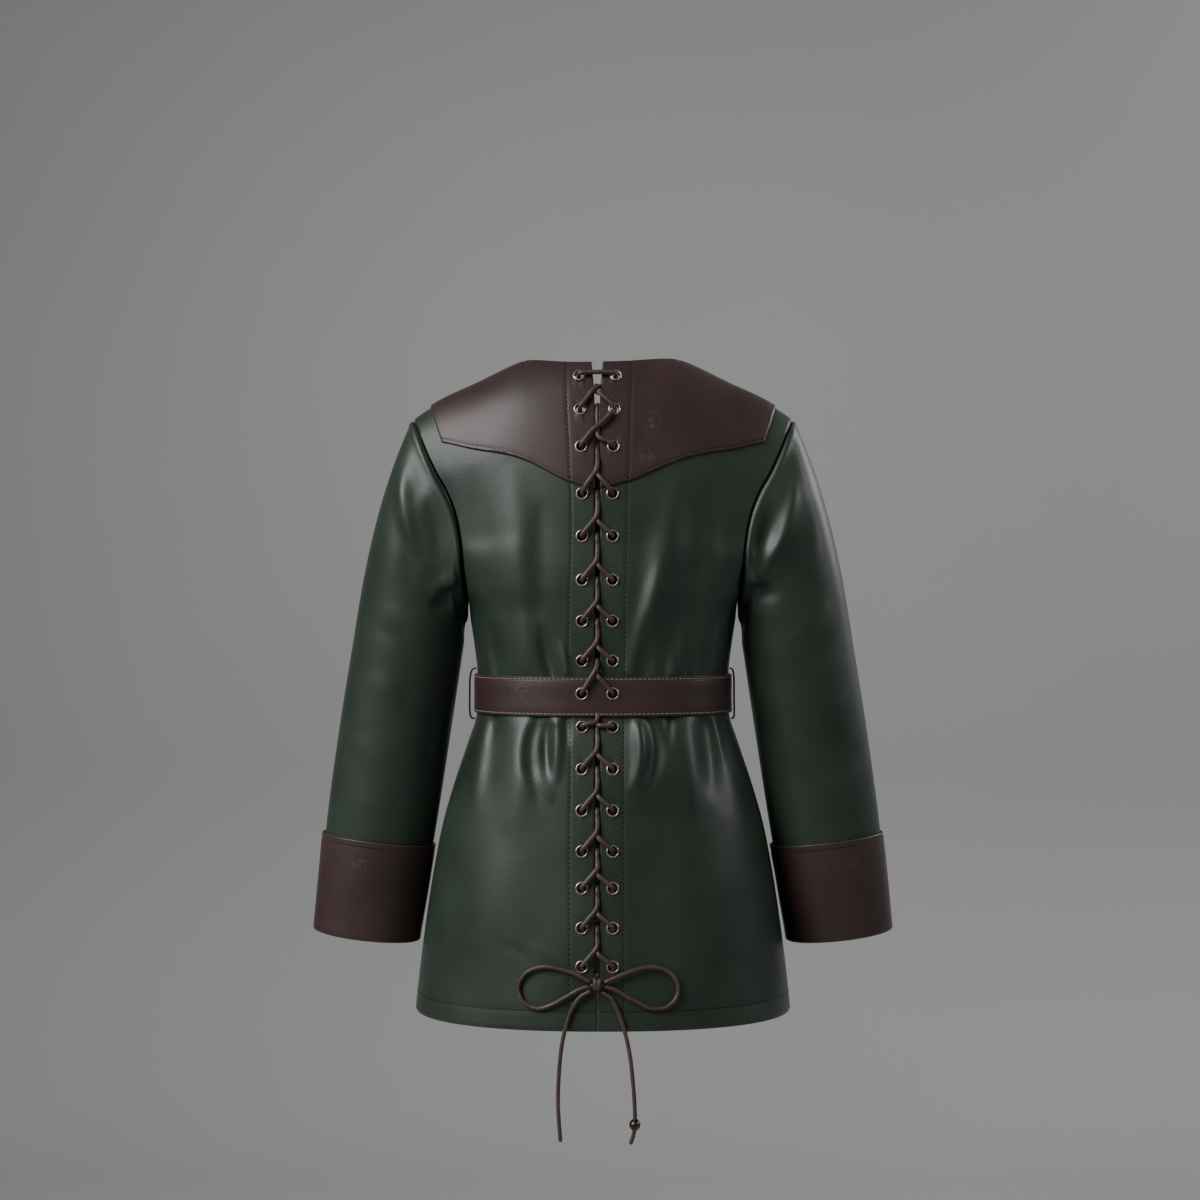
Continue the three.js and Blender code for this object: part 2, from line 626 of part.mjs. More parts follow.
// ---- Belt and its loops ----
// The belt goes round on the panels' own points, moved out, and crosses the laced opening.
function belt() {
  const ring = (key, row) => [
    ...BACK[1][key][row],
    ...[...FRONT[key][row]].reverse(),
    ...[...BACK[-1][key][row]].reverse(),
  ];
  const rows = [SKIRT_ROWS, SKIRT_ROWS + 1];
  const plain = wall(rows.map((row) => ring('grid', row)), rows.map((row) => ring('normals', row)),
    BELT.lift, BELT_DECK, true);
  return punch(plain, LACING.filter((row) => row.deck === BELT_DECK), [-1, 1]);
}

// A narrow strap sewn above and below the belt that bows out over it.
function beltLoop(hand) {
  const rows = 9;
  const steps = Array.from({ length: rows }, (_, j) => j / (rows - 1));
  const grid = steps.map((t) => [-1, 0, 1].map((end) => {
    const z = mix(BELT_LOOP.bottom, BELT_LOOP.top, t);
    const point = skirtPoint(1, z, 1);
    const ramp = ease(BELT_LOOP.bottom, BELT.bottom, z) * (1 - ease(BELT.top, BELT_LOOP.top, z));
    const out = mix(BELT_LOOP.lift, BELT_DECK + BELT_LOOP.bow, ramp);
    point.x = hand * (point.x + out);
    point.y = (end * BELT_LOOP.wide) / 2;
    return point;
  }));
  return wall(grid, gridNormals(grid, false, INSIDE), 0, BELT_LOOP.wall);
}

// ---- Eyelets, lace, bow ----
function eyelet(row, hand) {
  const profile = [
    new THREE.Vector2(EYELET.hole, 0),
    new THREE.Vector2(EYELET.rim, 0),
    new THREE.Vector2((EYELET.hole + EYELET.rim) / 2, EYELET.thick),
    new THREE.Vector2(EYELET.hole, 0),
  ];
  const ring = mergeVertices(new THREE.LatheGeometry(profile, EYELET.sides));
  return seatOnBack(ring, eyeletX(row, hand), row.z, row.deck + LAY_GAP);
}

// A smooth curve that is sampled at its own stations, so that tight bends keep their points.
class StationCurve extends THREE.CatmullRomCurve3 {
  getUtoTmapping(u) {
    return u;
  }
}

function tube(points, radius, sides, stepsEach) {
  const section = new THREE.Shape();
  for (let i = 0; i < sides; i += 1) {
    const angle = (2 * Math.PI * i) / sides;
    const corner = [radius * Math.cos(angle), radius * Math.sin(angle)];
    if (i === 0) section.moveTo(...corner);
    else section.lineTo(...corner);
  }
  section.closePath();
  const path = new StationCurve(points, false, 'centripetal');
  const steps = (points.length - 1) * stepsEach;
  return new THREE.ExtrudeGeometry(section, { steps, bevelEnabled: false, extrudePath: path });
}

// The stations of one strand from an eyelet, in through the slit and out to the next row's eyelet.
function strand(from, to, hand) {
  const leave = eyeletX(from, -hand) - OPENING_X;
  const reach = eyeletX(to, hand) - OPENING_X;
  const mouth = hand > 0 ? to.upper : to.lower;
  const bend = hand > 0 ? to.bend : to.lower - 2.6;
  const crossed = to.crossed ?? to.deck;
  const stations = [
    { x: leave, off: from.deck / 2 - 1, z: from.z },
    { x: leave * 0.93, off: -5.4, z: from.z - 1.2 },
    { x: leave * 0.4, off: -6.4, z: mix(from.z, mouth, hand > 0 ? 0.55 : 0.45) },
    { x: 0, off: -4.6, z: mouth + 1.8 },
    { x: 0, off: -0.6, z: mouth - 0.4 },
  ];
  if (mouth - bend > 3.5) stations.push({ x: 0, off: crossed + 2.0, z: mouth - 3.4 });
  stations.push(
    { x: hand * 0.8, off: crossed + 2.6, z: bend - 1.2 },
    { x: reach * 0.62, off: crossed + 3.3, z: mix(bend, to.z, 0.6) },
    { x: reach * 0.97, off: to.deck + 2.5, z: to.z + 0.9 },
  );
  return stations;
}

// One end of the lace, from the top bar's middle down to the knot.
function laceHalf(firstHand) {
  const stations = [];
  let hand = firstHand;
  const top = LACING[0];
  const x = eyeletX(top, hand) - OPENING_X;
  stations.push(
    { x: x * 0.5, off: top.deck + 3.6, z: top.z + 0.6 },
    { x: x * 0.86, off: top.deck + 3.4, z: top.z + 0.4 },
    { x: x * 0.99, off: top.deck + 2.0, z: top.z },
  );
  for (let i = 1; i < LACING.length; i += 1) {
    stations.push(...strand(LACING[i - 1], LACING[i], -hand));
    hand = -hand;
  }
  const last = LACING[LACING.length - 1];
  const side = eyeletX(last, hand) - OPENING_X;
  const mouth = KNOT.z + (hand > 0 ? 6.2 : 0.8);
  stations.push(
    { x: side, off: -1, z: last.z },
    { x: side * 0.93, off: -5.4, z: last.z - 1.2 },
    { x: side * 0.4, off: -6, z: mix(last.z, mouth, 0.6) },
    { x: 0, off: -4.2, z: mouth + 0.4 },
    { x: 0, off: hand > 0 ? 0.4 : -0.4, z: mouth },
  );
  return stations.map((at) => onBack(OPENING_X + at.x, at.z, at.off));
}

function lace() {
  const bar = onBack(OPENING_X, LACING[0].z + 0.8, YOKE_DECK + 3.6);
  return tube([...laceHalf(1).reverse(), bar, ...laceHalf(-1)], LACE.radius, LACE.sides, 1);
}

function freeLace(route) {
  return tube(route.map((at) => onBack(OPENING_X + at.x, KNOT.z + at.z, at.off)), LACE.radius, BOW_SIDES, 2);
}

function knot() {
  const ball = mergeVertices(new THREE.SphereGeometry(1, 10, 7));
  ball.scale(KNOT.wide, KNOT.deep, KNOT.tall);
  return seatOnBack(ball, OPENING_X, KNOT.z, KNOT.deep + LAY_GAP + 0.4);
}

function bead() {
  const profile = [];
  for (let i = 0; i <= 6; i += 1) {
    const angle = mix(-1.1, 1.1, i / 6);
    profile.push(new THREE.Vector2(BEAD.radius * Math.cos(angle), BEAD.radius * Math.sin(angle)));
  }
  const reach = BEAD.radius * Math.sin(1.1);
  profile.push(new THREE.Vector2(BEAD.bore, reach), new THREE.Vector2(BEAD.bore, -reach), profile[0].clone());
  const ring = mergeVertices(new THREE.LatheGeometry(profile, 10));
  ring.rotateX(Math.PI / 2);
  const at = TAIL_RIGHT.find((row) => KNOT.z + row.z <= BEAD.z);
  const place = onBack(OPENING_X + at.x, KNOT.z + at.z, at.off);
  ring.translate(place.x, place.y, place.z);
  return ring;
}

// ---- Materials and scene ----
const green = new THREE.MeshStandardMaterial({ color: 0x37443c, roughness: 0.42, metalness: 0 });
const brown = new THREE.MeshStandardMaterial({ color: 0x3e3230, roughness: 0.45, metalness: 0 });
const cord = new THREE.MeshStandardMaterial({ color: 0x4a3a34, roughness: 0.6, metalness: 0 });
const brass = new THREE.MeshStandardMaterial({ color: 0xb09a86, roughness: 0.25, metalness: 1 });

const group = new THREE.Group();
function add(name, geometry, material) {
  const mesh = new THREE.Mesh(geometry, material);
  mesh.name = name;
  group.add(mesh);
}

const HANDS = [{ hand: 1, name: 'left' }, { hand: -1, name: 'right' }];

add('front_panel', wall(FRONT.grid, FRONT.normals, -CLOTH, 0), green);
add('belt', belt(), brown);
for (const { hand, name } of HANDS) {
  add(`back_panel_${name}`, backPanel(hand), green);
  add(`yoke_${name}`, yoke(hand), brown);
  add(`sleeve_${name}`, sleeve(hand), green);
  add(`cuff_${name}`, cuff(hand), brown);
  add(`belt_loop_${name}`, beltLoop(hand), brown);
  LACING.forEach((row, i) => {
    const number = String(i + 1).padStart(2, '0');
    add(`eyelet_${number}_${name}`, eyelet(row, hand), brass);
  });
}
add('lace', lace(), cord);
add('lace_knot', knot(), cord);
add('bow_left', freeLace(BOW_LEFT), cord);
add('bow_right', freeLace(BOW_RIGHT), cord);
add('tail_left', freeLace(TAIL_LEFT), cord);
add('tail_right', freeLace(TAIL_RIGHT), cord);
add('lace_bead', bead(), brass);

export default group;
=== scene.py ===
"""Medieval tunic in imitation leather: cloth shells, lacing, stitches, materials, stage and camera.

Sizes in the tables are millimetres, +Z up, +Y the wearer's back, +X the wearer's left.
"""

import math

import bmesh
import bpy
import numpy as np
from bpy.props import FloatProperty, FloatVectorProperty, PointerProperty
from mathutils import Matrix, Vector


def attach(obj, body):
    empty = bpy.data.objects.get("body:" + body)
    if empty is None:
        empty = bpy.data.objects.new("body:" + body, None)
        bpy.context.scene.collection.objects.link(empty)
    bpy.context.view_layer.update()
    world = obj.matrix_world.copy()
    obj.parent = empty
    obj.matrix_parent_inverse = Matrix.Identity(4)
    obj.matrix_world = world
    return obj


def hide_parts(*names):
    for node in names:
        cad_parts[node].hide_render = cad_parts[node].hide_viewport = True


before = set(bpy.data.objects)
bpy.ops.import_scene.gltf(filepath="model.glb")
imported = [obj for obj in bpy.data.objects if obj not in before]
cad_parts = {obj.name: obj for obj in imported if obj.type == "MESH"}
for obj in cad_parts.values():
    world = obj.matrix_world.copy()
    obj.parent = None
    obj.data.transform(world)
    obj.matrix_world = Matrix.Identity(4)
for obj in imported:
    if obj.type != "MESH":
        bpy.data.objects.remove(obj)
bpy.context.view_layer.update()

bl_info = {
    "name": "Medieval tunic",
    "version": (1, 0, 0),
    "blender": (4, 5, 0),
    "location": "View3D > Sidebar > Tunic",
    "description": "Builds a laced tunic in imitation leather round its packed solids",
    "category": "Object",
}

MM = 0.001
# The wearer's left and right, by the sign of x.
HANDS = ((1, "left"), (-1, "right"))
# Edges that bend more than this stay sharp, on cloth and lace and on turned metal.
SHARP_FROM, RING_SHARP_FROM = math.radians(50), math.radians(55)

# ---- The tunic's sizes ----
CLOTH = 2.0
SEAM_GAP = 0.4
LAY_GAP = 0.3
ARMPIT_Z = -205.0
HEM_Z = -514.0
BACK_CHEST = 77.0
FRONT_CHEST = 79.0
ARM_DEPTH = 52.0
ROUNDNESS = 2.3
CAP_POWER = 0.7
SHOULDER_X = 151.0
NECK_HALF, NECK_BACK, NECK_FRONT = 64.0, 36.0, 58.0
NECK_COLUMN = NECK_HALF / SHOULDER_X
RIDGE_MIDDLE, RIDGE_FALL = 8.2, 0.0024
RIDGE_FLAT, RIDGE_FLAT_X, RIDGE_FLAT_REACH = 3.4, 98.0, 27.0
SHOULDER_SEAM = 0.056
OPENING_X = 4.5
SLIT_HALF, SLIT_NECK_HALF, SLIT_HEM_HALF, SLIT_WIDENS = 1.9, 4.8, 0.05, -42.0
# How much of the half back follows the slit where it leaves the middle.
SLIT_SHARE = 0.62

YOKE_LIFT, YOKE_WALL, YOKE_REACH = LAY_GAP, 1.8, 0.905
BELT_LIFT, BELT_WALL, BELT_TOP, BELT_BOTTOM = LAY_GAP, 2.4, -249.0, -279.5
LOOP_TOP, LOOP_BOTTOM, LOOP_WIDE, LOOP_WALL = -245.5, -284.5, 8.0, 1.2
LOOP_BOW, LOOP_LIFT = {1: 3.4, -1: 1.6}, 0.7
SET_IN, ELBOW_TOP, SLEEVE_END, SLEEVE_TILT = 0.8, -222.0, -456.0, 0.12
CUFF_TOP, CUFF_BOTTOM, CUFF_WALL, CUFF_LIFT, CUFF_TURN = -381.0, -459.5, 1.6, LAY_GAP, 16.0
EYELET_HOLE, EYELET_RIM = 3.5, 5.0
EYELET_HALF, EYELET_NECK_HALF, EYELETS_SPREAD = 11.7, 15.0, -110.0
# The hole that is cut in the cloth for an eyelet's barrel.
CLOTH_HOLE, HOLE_BORDER = 3.95, 4.2
LACE_RADIUS = 1.55
# Pulled tight across the cloth, the lace lies a little flat and looks wider than its free ends.
LACED_WIDER = 1.16
# Below this height a strand also shows in the slit, from one row to the next.
RUNS_BELOW = -60.0
# How far the lace stands off the cloth: over an eyelet's rim, in the bar at the neck, behind the panels.
OVER_RIM, OVER_BAR, BEHIND = 2.7, 3.6, -5.4
KNOT_Z, KNOT_DEEP = -478.4, 4.2
BEAD_Z, BEAD_RADIUS, BEAD_BORE = -583.9, 4.3, 2.1
# The bead is round up to this angle from its middle, in radians, and cut flat at its bore.
BEAD_ROUND = 1.1
YOKE_DECK = YOKE_LIFT + YOKE_WALL
BELT_DECK = BELT_LIFT + BELT_WALL

# How far a line of stitches runs from its edge.
HEM_STITCH, BELT_STITCH, YOKE_STITCH, CUFF_STITCH, NECK_STITCH = 15.0, 1.9, 3.4, 4.6, 6.0
STITCH_LIFT, STITCH_SIDES = 0.12, 6
# Sides of the lace's round section, where it is laced and where it hangs free, and of turned metal.
LACED_SIDES, FREE_SIDES, EYELET_SIDES, BEAD_SIDES = 12, 14, 24, 32

# Height, half width, depth of the back and of the front, below the armpit.
BODY = np.array([
    (-514, 149.5, 108.0, 108.0),
    (-478, 145.6, 105.0, 105.0),
    (-430, 139.2, 101.0, 101.0),
    (-398, 134.0, 97.5, 97.5),
    (-366, 127.6, 93.0, 93.0),
    (-334, 118.4, 88.0, 87.0),
    (-302, 107.6, 82.0, 82.0),
    (-280, 100.8, 78.0, 79.0),
    (-248, 100.4, 77.0, 78.5),
    (-225, 103.0, 77.0, 79.0),
    (-205, 106.0, 77.0, 79.0),
])

# How far up the armhole, and where the sleeve's seam stands there.
ARMHOLE = np.array([
    (0.0, 106.0), (0.1, 107.0), (0.2, 108.5), (0.33, 110.5), (0.45, 114.5), (0.56, 121.5),
    (0.66, 130.0), (0.76, 137.0), (0.86, 143.0), (0.94, 147.5), (1.0, SHOULDER_X),
])

# Place across the half back, and how far up the armhole's height the yoke's edge lies.
YOKE_EDGE = np.array([
    (0.0, 0.472), (0.08, 0.48), (0.25, 0.515), (0.54, 0.624), (0.76, 0.712), (0.905, 0.79),
    (1.0, 0.845),
])

# Height, middle across, middle in depth, half width and half depth of the sleeve.
ARM = np.array([
    (-470, 191.8, -14.0, 41.2, 36.5),
    (-446, 188.6, -12.0, 41.2, 36.5),
    (-366, 177.3, -7.0, 43.5, 38.0),
    (-286, 165.2, -3.0, 44.0, 39.0),
    (-222, 155.0, 0.0, 43.5, 40.0),
])

# Large folds that fall from the belt: x at the top, x at the foot, top, bottom, breadth, lift.
BACK_FOLDS = (
    (82, 90, -281, -352, 8, -3.0),
    (94, 106, -284, -362, 8, 2.6),
    (58, 66, -282, -380, 11, 2.8),
    (42, 45, -284, -350, 9, -2.6),
    (-27, -30, -284, -352, 9, 2.8),
    (-54, -66, -282, -372, 10, 2.2),
    (-80, -92, -282, -356, 9, -3.0),
    (-94, -112, -284, -380, 9, 2.4),
)
FRONT_FOLDS = (
    (84, 98, -281, -366, 11, 2.8),
    (50, 56, -282, -346, 10, -2.8),
    (14, 20, -283, -386, 13, 2.6),
    (-30, -36, -281, -352, 10, -2.8),
    (-62, -72, -284, -392, 13, 2.8),
    (-92, -106, -282, -352, 9, -2.4),
)

# Smaller creases: x and z where each starts, x and z where it ends, how far it bows sideways, its
# breadth and its lift, below zero for a trough. The first list is on the back, the next on the front.
BACK_CREASES = (
    # chest, from the armholes and below the yoke
    (70, -84, 66, -266, 3, 12, 3.0),
    (101, -84, 93, -226, 3, 9, -1.9),
    (47, -112, 49, -214, -2, 8, -1.6),
    (-58, -94, -33, -236, 3, 11, 4.4),
    (-71, -110, -66, -262, 2, 10, -2.2),
    (-88, -96, -82, -236, -3, 8, 1.4),
    (-29, -120, -27, -200, 1, 7, -1.0),
    (121, -78, 110, -128, -4, 6, 1.3),
    (-108, -88, -95, -168, -4, 9, -1.6),
    (101, -186, 80, -219, 4, 6, 1.3),
    (97, -197, 82, -226, 3, 5, -1.0),
    (-101, -178, -76, -216, -4, 6, 1.4),
    (-99, -192, -82, -223, -3, 5, -1.2),
    # gathers above the belt, running on under it
    (96, -214, 84, -268, 1, 3.4, 2.2),
    (86, -208, 79, -270, -1, 4.4, -3.5),
    (64, -196, 60, -270, 1, 9.0, 1.9),
    (48, -208, 31, -270, -2, 4.6, -3.8),
    (33, -220, 25, -268, 1, 3.0, 2.0),
    (-44, -158, -14, -268, 3, 6.5, 3.4),
    (-36, -196, -24, -268, 2, 5.0, -2.4),
    (-47, -222, -45, -268, 0, 3.0, -2.0),
    (-57, -218, -52, -268, 1, 3.4, 2.2),
    (-66, -216, -63, -270, 0, 3.8, -2.2),
    (-80, -220, -79, -268, -1, 3.4, -2.2),
    (-91, -208, -85, -268, 1, 3.2, 2.2),
    (-97, -222, -93, -268, 0, 3.0, -1.9),
    # gathers below the belt, with the drop-shaped folds on both sides of the lacing
    (93, -264, 99, -352, -2, 5.5, 2.7),
    (84, -264, 88, -306, 1, 4.0, -3.5),
    (72, -264, 73, -372, 2, 11.0, 1.9),
    (39, -266, 47, -344, -13, 5.0, -3.8),
    (41, -274, 42, -324, -2, 3.4, -2.2),
    (34, -264, 36, -332, -1, 4.6, 3.5),
    (29, -264, 28, -308, 0, 2.8, -1.9),
    (60, -320, 38, -346, 3, 6.0, 1.6),
    (-17, -264, -19, -338, 12, 4.4, 3.8),
    (-25, -264, -28, -346, 13, 5.0, -3.0),
    (-49, -264, -51, -304, 0, 3.6, -3.0),
    (-62, -264, -69, -356, 2, 6.5, 2.7),
    (-75, -264, -84, -344, 2, 5.5, -3.0),
    (-83, -264, -93, -316, 0, 2.8, 2.2),
    (-89, -266, -99, -322, 1, 3.4, -2.4),
    (-95, -266, -111, -340, 1, 4.2, 2.7),
    # long soft falls of the skirt
    (45, -350, 52, -470, 3, 13, -0.9),
    (78, -372, 92, -500, -4, 15, 1.0),
    (112, -380, 126, -505, 3, 12, -1.2),
    (-44, -360, -50, -492, -3, 13, -1.0),
    (-76, -356, -86, -476, 4, 14, 1.0),
    (-110, -384, -124, -508, -3, 12, -1.2),
    (34, -461, 57, -447, 2, 3.4, 0.5),
    (52, -466, 79, -449, -2, 3.6, -0.5),
    (24, -470, 44, -463, 1, 3.2, -0.4),
)
FRONT_CREASES = (
    (52, -98, 40, -250, 2, 13, 2.6),
    (-58, -92, -48, -244, -2, 13, 2.4),
    (74, -192, 80, -272, 0, 9, -2.0),
    (-20, -184, -26, -272, 1, 11, -1.9),
    (-80, -196, -84, -272, 0, 8, -2.0),
    (112, -78, 98, -150, -4, 7, 1.4),
    (100, -96, 90, -172, 3, 9, -1.5),
    (70, -100, 62, -190, -3, 9, 0.9),
    (-112, -84, -97, -158, 4, 7, 1.4),
    (-98, -100, -86, -178, -3, 9, -1.5),
    (-72, -96, -70, -182, 3, 9, 0.9),
    (98, -184, 70, -214, 4, 6, 1.3),
    (-99, -188, -73, -221, -4, 6, 1.2),
    (93, -224, 90, -268, 1, 3.6, 1.5),
    (56, -226, 57, -268, 0, 4.0, -1.5),
    (33, -219, 30, -268, 1, 4.2, 1.5),
    (8, -230, 7, -268, 0, 3.4, -1.2),
    (-42, -224, -44, -268, 0, 4.2, 1.5),
    (-61, -230, -60, -268, 0, 3.4, -1.4),
    (-92, -221, -91, -268, -1, 3.8, 1.7),
    (98, -264, 104, -318, 1, 4.0, -2.0),
    (72, -264, 75, -309, 0, 3.6, -1.8),
    (62, -264, 68, -330, -1, 4.8, 1.7),
    (36, -264, 38, -310, 0, 3.6, 1.4),
    (24, -264, 26, -301, 0, 3.2, -1.4),
    (2, -264, 3, -322, 1, 4.4, -2.0),
    (-14, -264, -15, -308, 0, 3.4, 1.4),
    (-42, -264, -46, -322, -1, 4.2, 1.7),
    (-50, -264, -53, -305, 0, 3.2, -1.8),
    (-78, -264, -84, -321, 1, 4.4, -2.0),
    (-104, -264, -113, -336, -2, 4.6, 2.0),
    (40, -352, 46, -486, 3, 14, -1.0),
    (84, -372, 96, -504, -4, 15, 1.0),
    (116, -392, 128, -508, 3, 12, -1.2),
    (-10, -362, -12, -498, -2, 15, -0.9),
    (-52, -372, -60, -500, 4, 14, -1.0),
    (-112, -376, -126, -506, -3, 13, 1.1),
)

# Creases of the sleeves, at their distance from the middle: back of the left and the right sleeve,
# and the front of both.
SLEEVE_CREASES = {
    ("back", 1): (
        (151, -60, 146, -118, 5, 8, -1.4),
        (157, -84, 143, -158, -5, 5.0, 3.4),
        (164, -104, 152, -186, 6, 8, -1.6),
        (139, -108, 128, -164, 4, 6, -1.8),
        (136, -185, 103, -170, 2, 4.6, 2.6),
        (136, -198, 102, -184, 2, 6.0, -4.4),
        (152, -200, 120, -216, -5, 8, 0.8),
        (176, -196, 138, -222, 6, 7, 0.7),
        (180, -212, 148, -238, 6, 6, -0.8),
        (192, -252, 158, -276, 5, 8, 0.7),
        (172, -270, 138, -262, -4, 8, -0.6),
        (204, -300, 168, -330, 6, 9, 0.6),
        (182, -322, 150, -312, -5, 8, -0.5),
        (198, -346, 166, -366, 5, 7, 0.5),
    ),
    ("back", -1): (
        (150, -58, 147, -112, 5, 8, -1.3),
        (150, -92, 113, -182, -9, 5.0, 3.8),
        (142, -166, 104, -176, -3, 5.0, 2.4),
        (133, -108, 116, -164, -2, 7, -2.4),
        (160, -110, 150, -170, -4, 7, -1.5),
        (132, -120, 118, -156, -3, 6, -2.0),
        (140, -184, 102, -192, 3, 6.5, -3.6),
        (154, -198, 120, -212, 4, 9, 0.6),
        (180, -190, 140, -224, -6, 8, 1.3),
        (184, -214, 150, -242, -6, 6, -0.8),
        (194, -262, 156, -284, -5, 8, 0.7),
        (176, -288, 140, -276, 4, 8, -0.6),
        (206, -316, 170, -340, -6, 9, 0.6),
        (184, -340, 152, -330, 5, 7, -0.5),
    ),
    ("front", 1): (
        (150, -62, 144, -122, 5, 8, -1.4),
        (146, -110, 118, -168, 6, 6, 2.2),
        (140, -168, 108, -186, 4, 5, -2.4),
        (168, -120, 150, -190, -5, 8, 1.2),
        (188, -206, 146, -232, 6, 7, 1.0),
        (186, -226, 152, -246, 6, 6, -1.0),
        (194, -248, 156, -262, 4, 7, 0.8),
        (200, -300, 164, -324, 6, 9, 0.6),
        (196, -344, 160, -360, 5, 8, -0.5),
    ),
    ("front", -1): (
        (150, -62, 143, -116, -5, 8, -1.4),
        (148, -104, 120, -162, -6, 6, 2.1),
        (138, -170, 108, -182, -4, 5, -2.5),
        (170, -126, 152, -196, 5, 8, 1.1),
        (190, -200, 148, -228, -6, 7, 1.0),
        (188, -222, 154, -240, -6, 6, -0.9),
        (196, -256, 158, -272, -4, 7, 0.7),
        (202, -308, 166, -330, -6, 9, 0.6),
        (196, -350, 160, -368, -5, 8, -0.5),
    ),
}

# Patches of fine wrinkles: x, z, the radii across and along, how far the strokes lean from level in
# degrees, and how strong they are.
BACK_WRINKLES = (
    (45, -452, 22, 9, 8, 0.4), (66, -459, 24, 9, 174, 0.4), (36, -503, 34, 8, 98, 0.5),
    (94, -236, 12, 13, 116, 0.8), (-39, -56, 9, 15, 102, 1.7), (-35, -80, 11, 11, 126, 1.5),
    (-31, -328, 8, 22, 12, 0.6), (-26, -162, 9, 16, 24, 0.8), (59, -261, 17, 9, 42, 1.8),
    (92, -322, 11, 28, 152, 0.7), (26, -222, 8, 8, 20, 0.9),
)
FRONT_WRINKLES = (
    (50, -452, 24, 10, 12, 0.6), (-62, -330, 14, 20, 68, 0.7), (-20, -236, 14, 12, 100, 0.9),
    (88, -300, 12, 18, 110, 0.8),
)
SLEEVE_WRINKLES = ((124, -186, 14, 7, 14, 0.8), (150, -170, 10, 12, 60, 0.7))
CUFF_WRINKLES = ((196, -397, 15, 9, 152, 1.6), (178, -400, 13, 9, 28, 1.6), (172, -438, 14, 8, 8, 1.2))

# Where the facing's stitches run down each back panel: height, x on the left and on the right panel.
FACING = np.array([
    (-500, 26.0, -15.0), (-438, 25.7, -14.9), (-378, 25.8, -15.0), (-311, 25.2, -15.3),
    (-236, 26.8, -16.2), (-190, 26.1, -16.7), (-129, 24.6, -18.0), (-75, 26.3, -19.8),
    (-35, 28.4, -21.2), (6, 28.6, -22.2),
])

# Lacing from the neck down: height, then where a strand for the left leaves the slit (None where it
# runs straight over from the eyelet opposite), where it turns aside, where a strand for the right
# leaves the slit, the height of what the eyelets sit on, and the height of what the strands cross.
LACING = (
    (-17.0, None, None, None, YOKE_DECK, YOKE_DECK),
    (-43.6, -23.0, -25.5, -27.5, YOKE_DECK, YOKE_DECK),
    (-72.7, None, None, -62.0, YOKE_DECK, YOKE_DECK),
    (-108.8, -82.0, -90.0, -92.0, 0.0, YOKE_DECK),
    (-141.5, -117.0, -125.5, -127.0, 0.0, 0.0),
    (-175.1, -151.0, -159.0, -160.5, 0.0, 0.0),
    (-206.5, -184.5, -190.5, -192.0, 0.0, 0.0),
    (-237.0, -215.5, -221.5, -223.0, 0.0, 0.0),
    (-261.9, -239.8, -241.3, -244.8, BELT_DECK, BELT_DECK),
    (-287.4, -280.8, -281.6, -282.4, 0.0, 0.0),
    (-319.0, -296.5, -304.0, -305.5, 0.0, 0.0),
    (-350.0, -328.0, -334.5, -336.0, 0.0, 0.0),
    (-380.4, -359.0, -365.0, -366.5, 0.0, 0.0),
    (-407.7, -389.4, -393.0, -394.5, 0.0, 0.0),
    (-437.3, -416.7, -422.0, -423.5, 0.0, 0.0),
    (-466.0, -446.3, -451.0, -452.5, 0.0, 0.0),
)

# Length of each free stretch of lace in metres, and what its far end is.
FREE_LACE = {
    "bow_left": (0.13, "object"),
    "bow_right": (0.133, "object"),
    "tail_left": (0.122, "bare"),
    "tail_right": (0.122, "fitting"),
}

# Free lace from the knot: across, height from the knot, and height off the cloth.
ROUTES = {
    "bow_left": (
        (5.6, 1.6, 4.6), (16.5, 7.5, 4.2), (29, 11.2, 4.0), (41, 12, 3.6), (52.4, 7.5, 3.0),
        (58.4, -2.2, 2.6), (55.5, -13.5, 2.6), (45, -18.7, 2.8), (33.7, -15.7, 3.0),
        (22, -9, 3.6), (12.7, -3.8, 4.2), (5.9, -1.8, 4.6),
    ),
    "bow_right": (
        (-5.6, 1.4, 4.6), (-18, 6.6, 4.2), (-32, 11.4, 4.0), (-43.5, 11.8, 3.6),
        (-54, 7.2, 3.0), (-60, -1.6, 2.6), (-59, -11, 2.6), (-51.5, -17.6, 2.8),
        (-40, -18.2, 3.0), (-26, -11.8, 3.6), (-14, -4.8, 4.2), (-5.9, -1.9, 4.6),
    ),
    "tail_left": (
        (4.6, -4.9, 4.6), (12.5, -9.5, 4.0), (18.8, -18.5, 2.6), (23.2, -31.4, 2.6),
        (26.6, -48, 2.4), (28.6, -68, 1.2), (29.4, -88, 0), (28.8, -104, -1),
        (27.7, -118.5, -1.6),
    ),
    "tail_right": (
        (-3.2, -5.7, 4.6), (-9.6, -10, 4.0), (-15.4, -20, 2.6), (-20.2, -34, 2.6),
        (-24.2, -52, 2.2), (-26.6, -72, 1.0), (-28, -90, 0), (-28.3, -105.5, -0.8),
        (-27.2, -113.5, -1.2), (-25, -120, -1.4),
    ),
}

# The camera's place and lens, and the studio's wall, its sweep and its size, in metres.
CAMERA_PLACE = (0.0024, 1.7, -0.1904)
LENS_MM, SENSOR_MM = 63.75, 36.0
WALL_Y, SWEEP, STUDIO_HALF, WALL_TOP = -1.9, 0.55, 4.0, 2.2
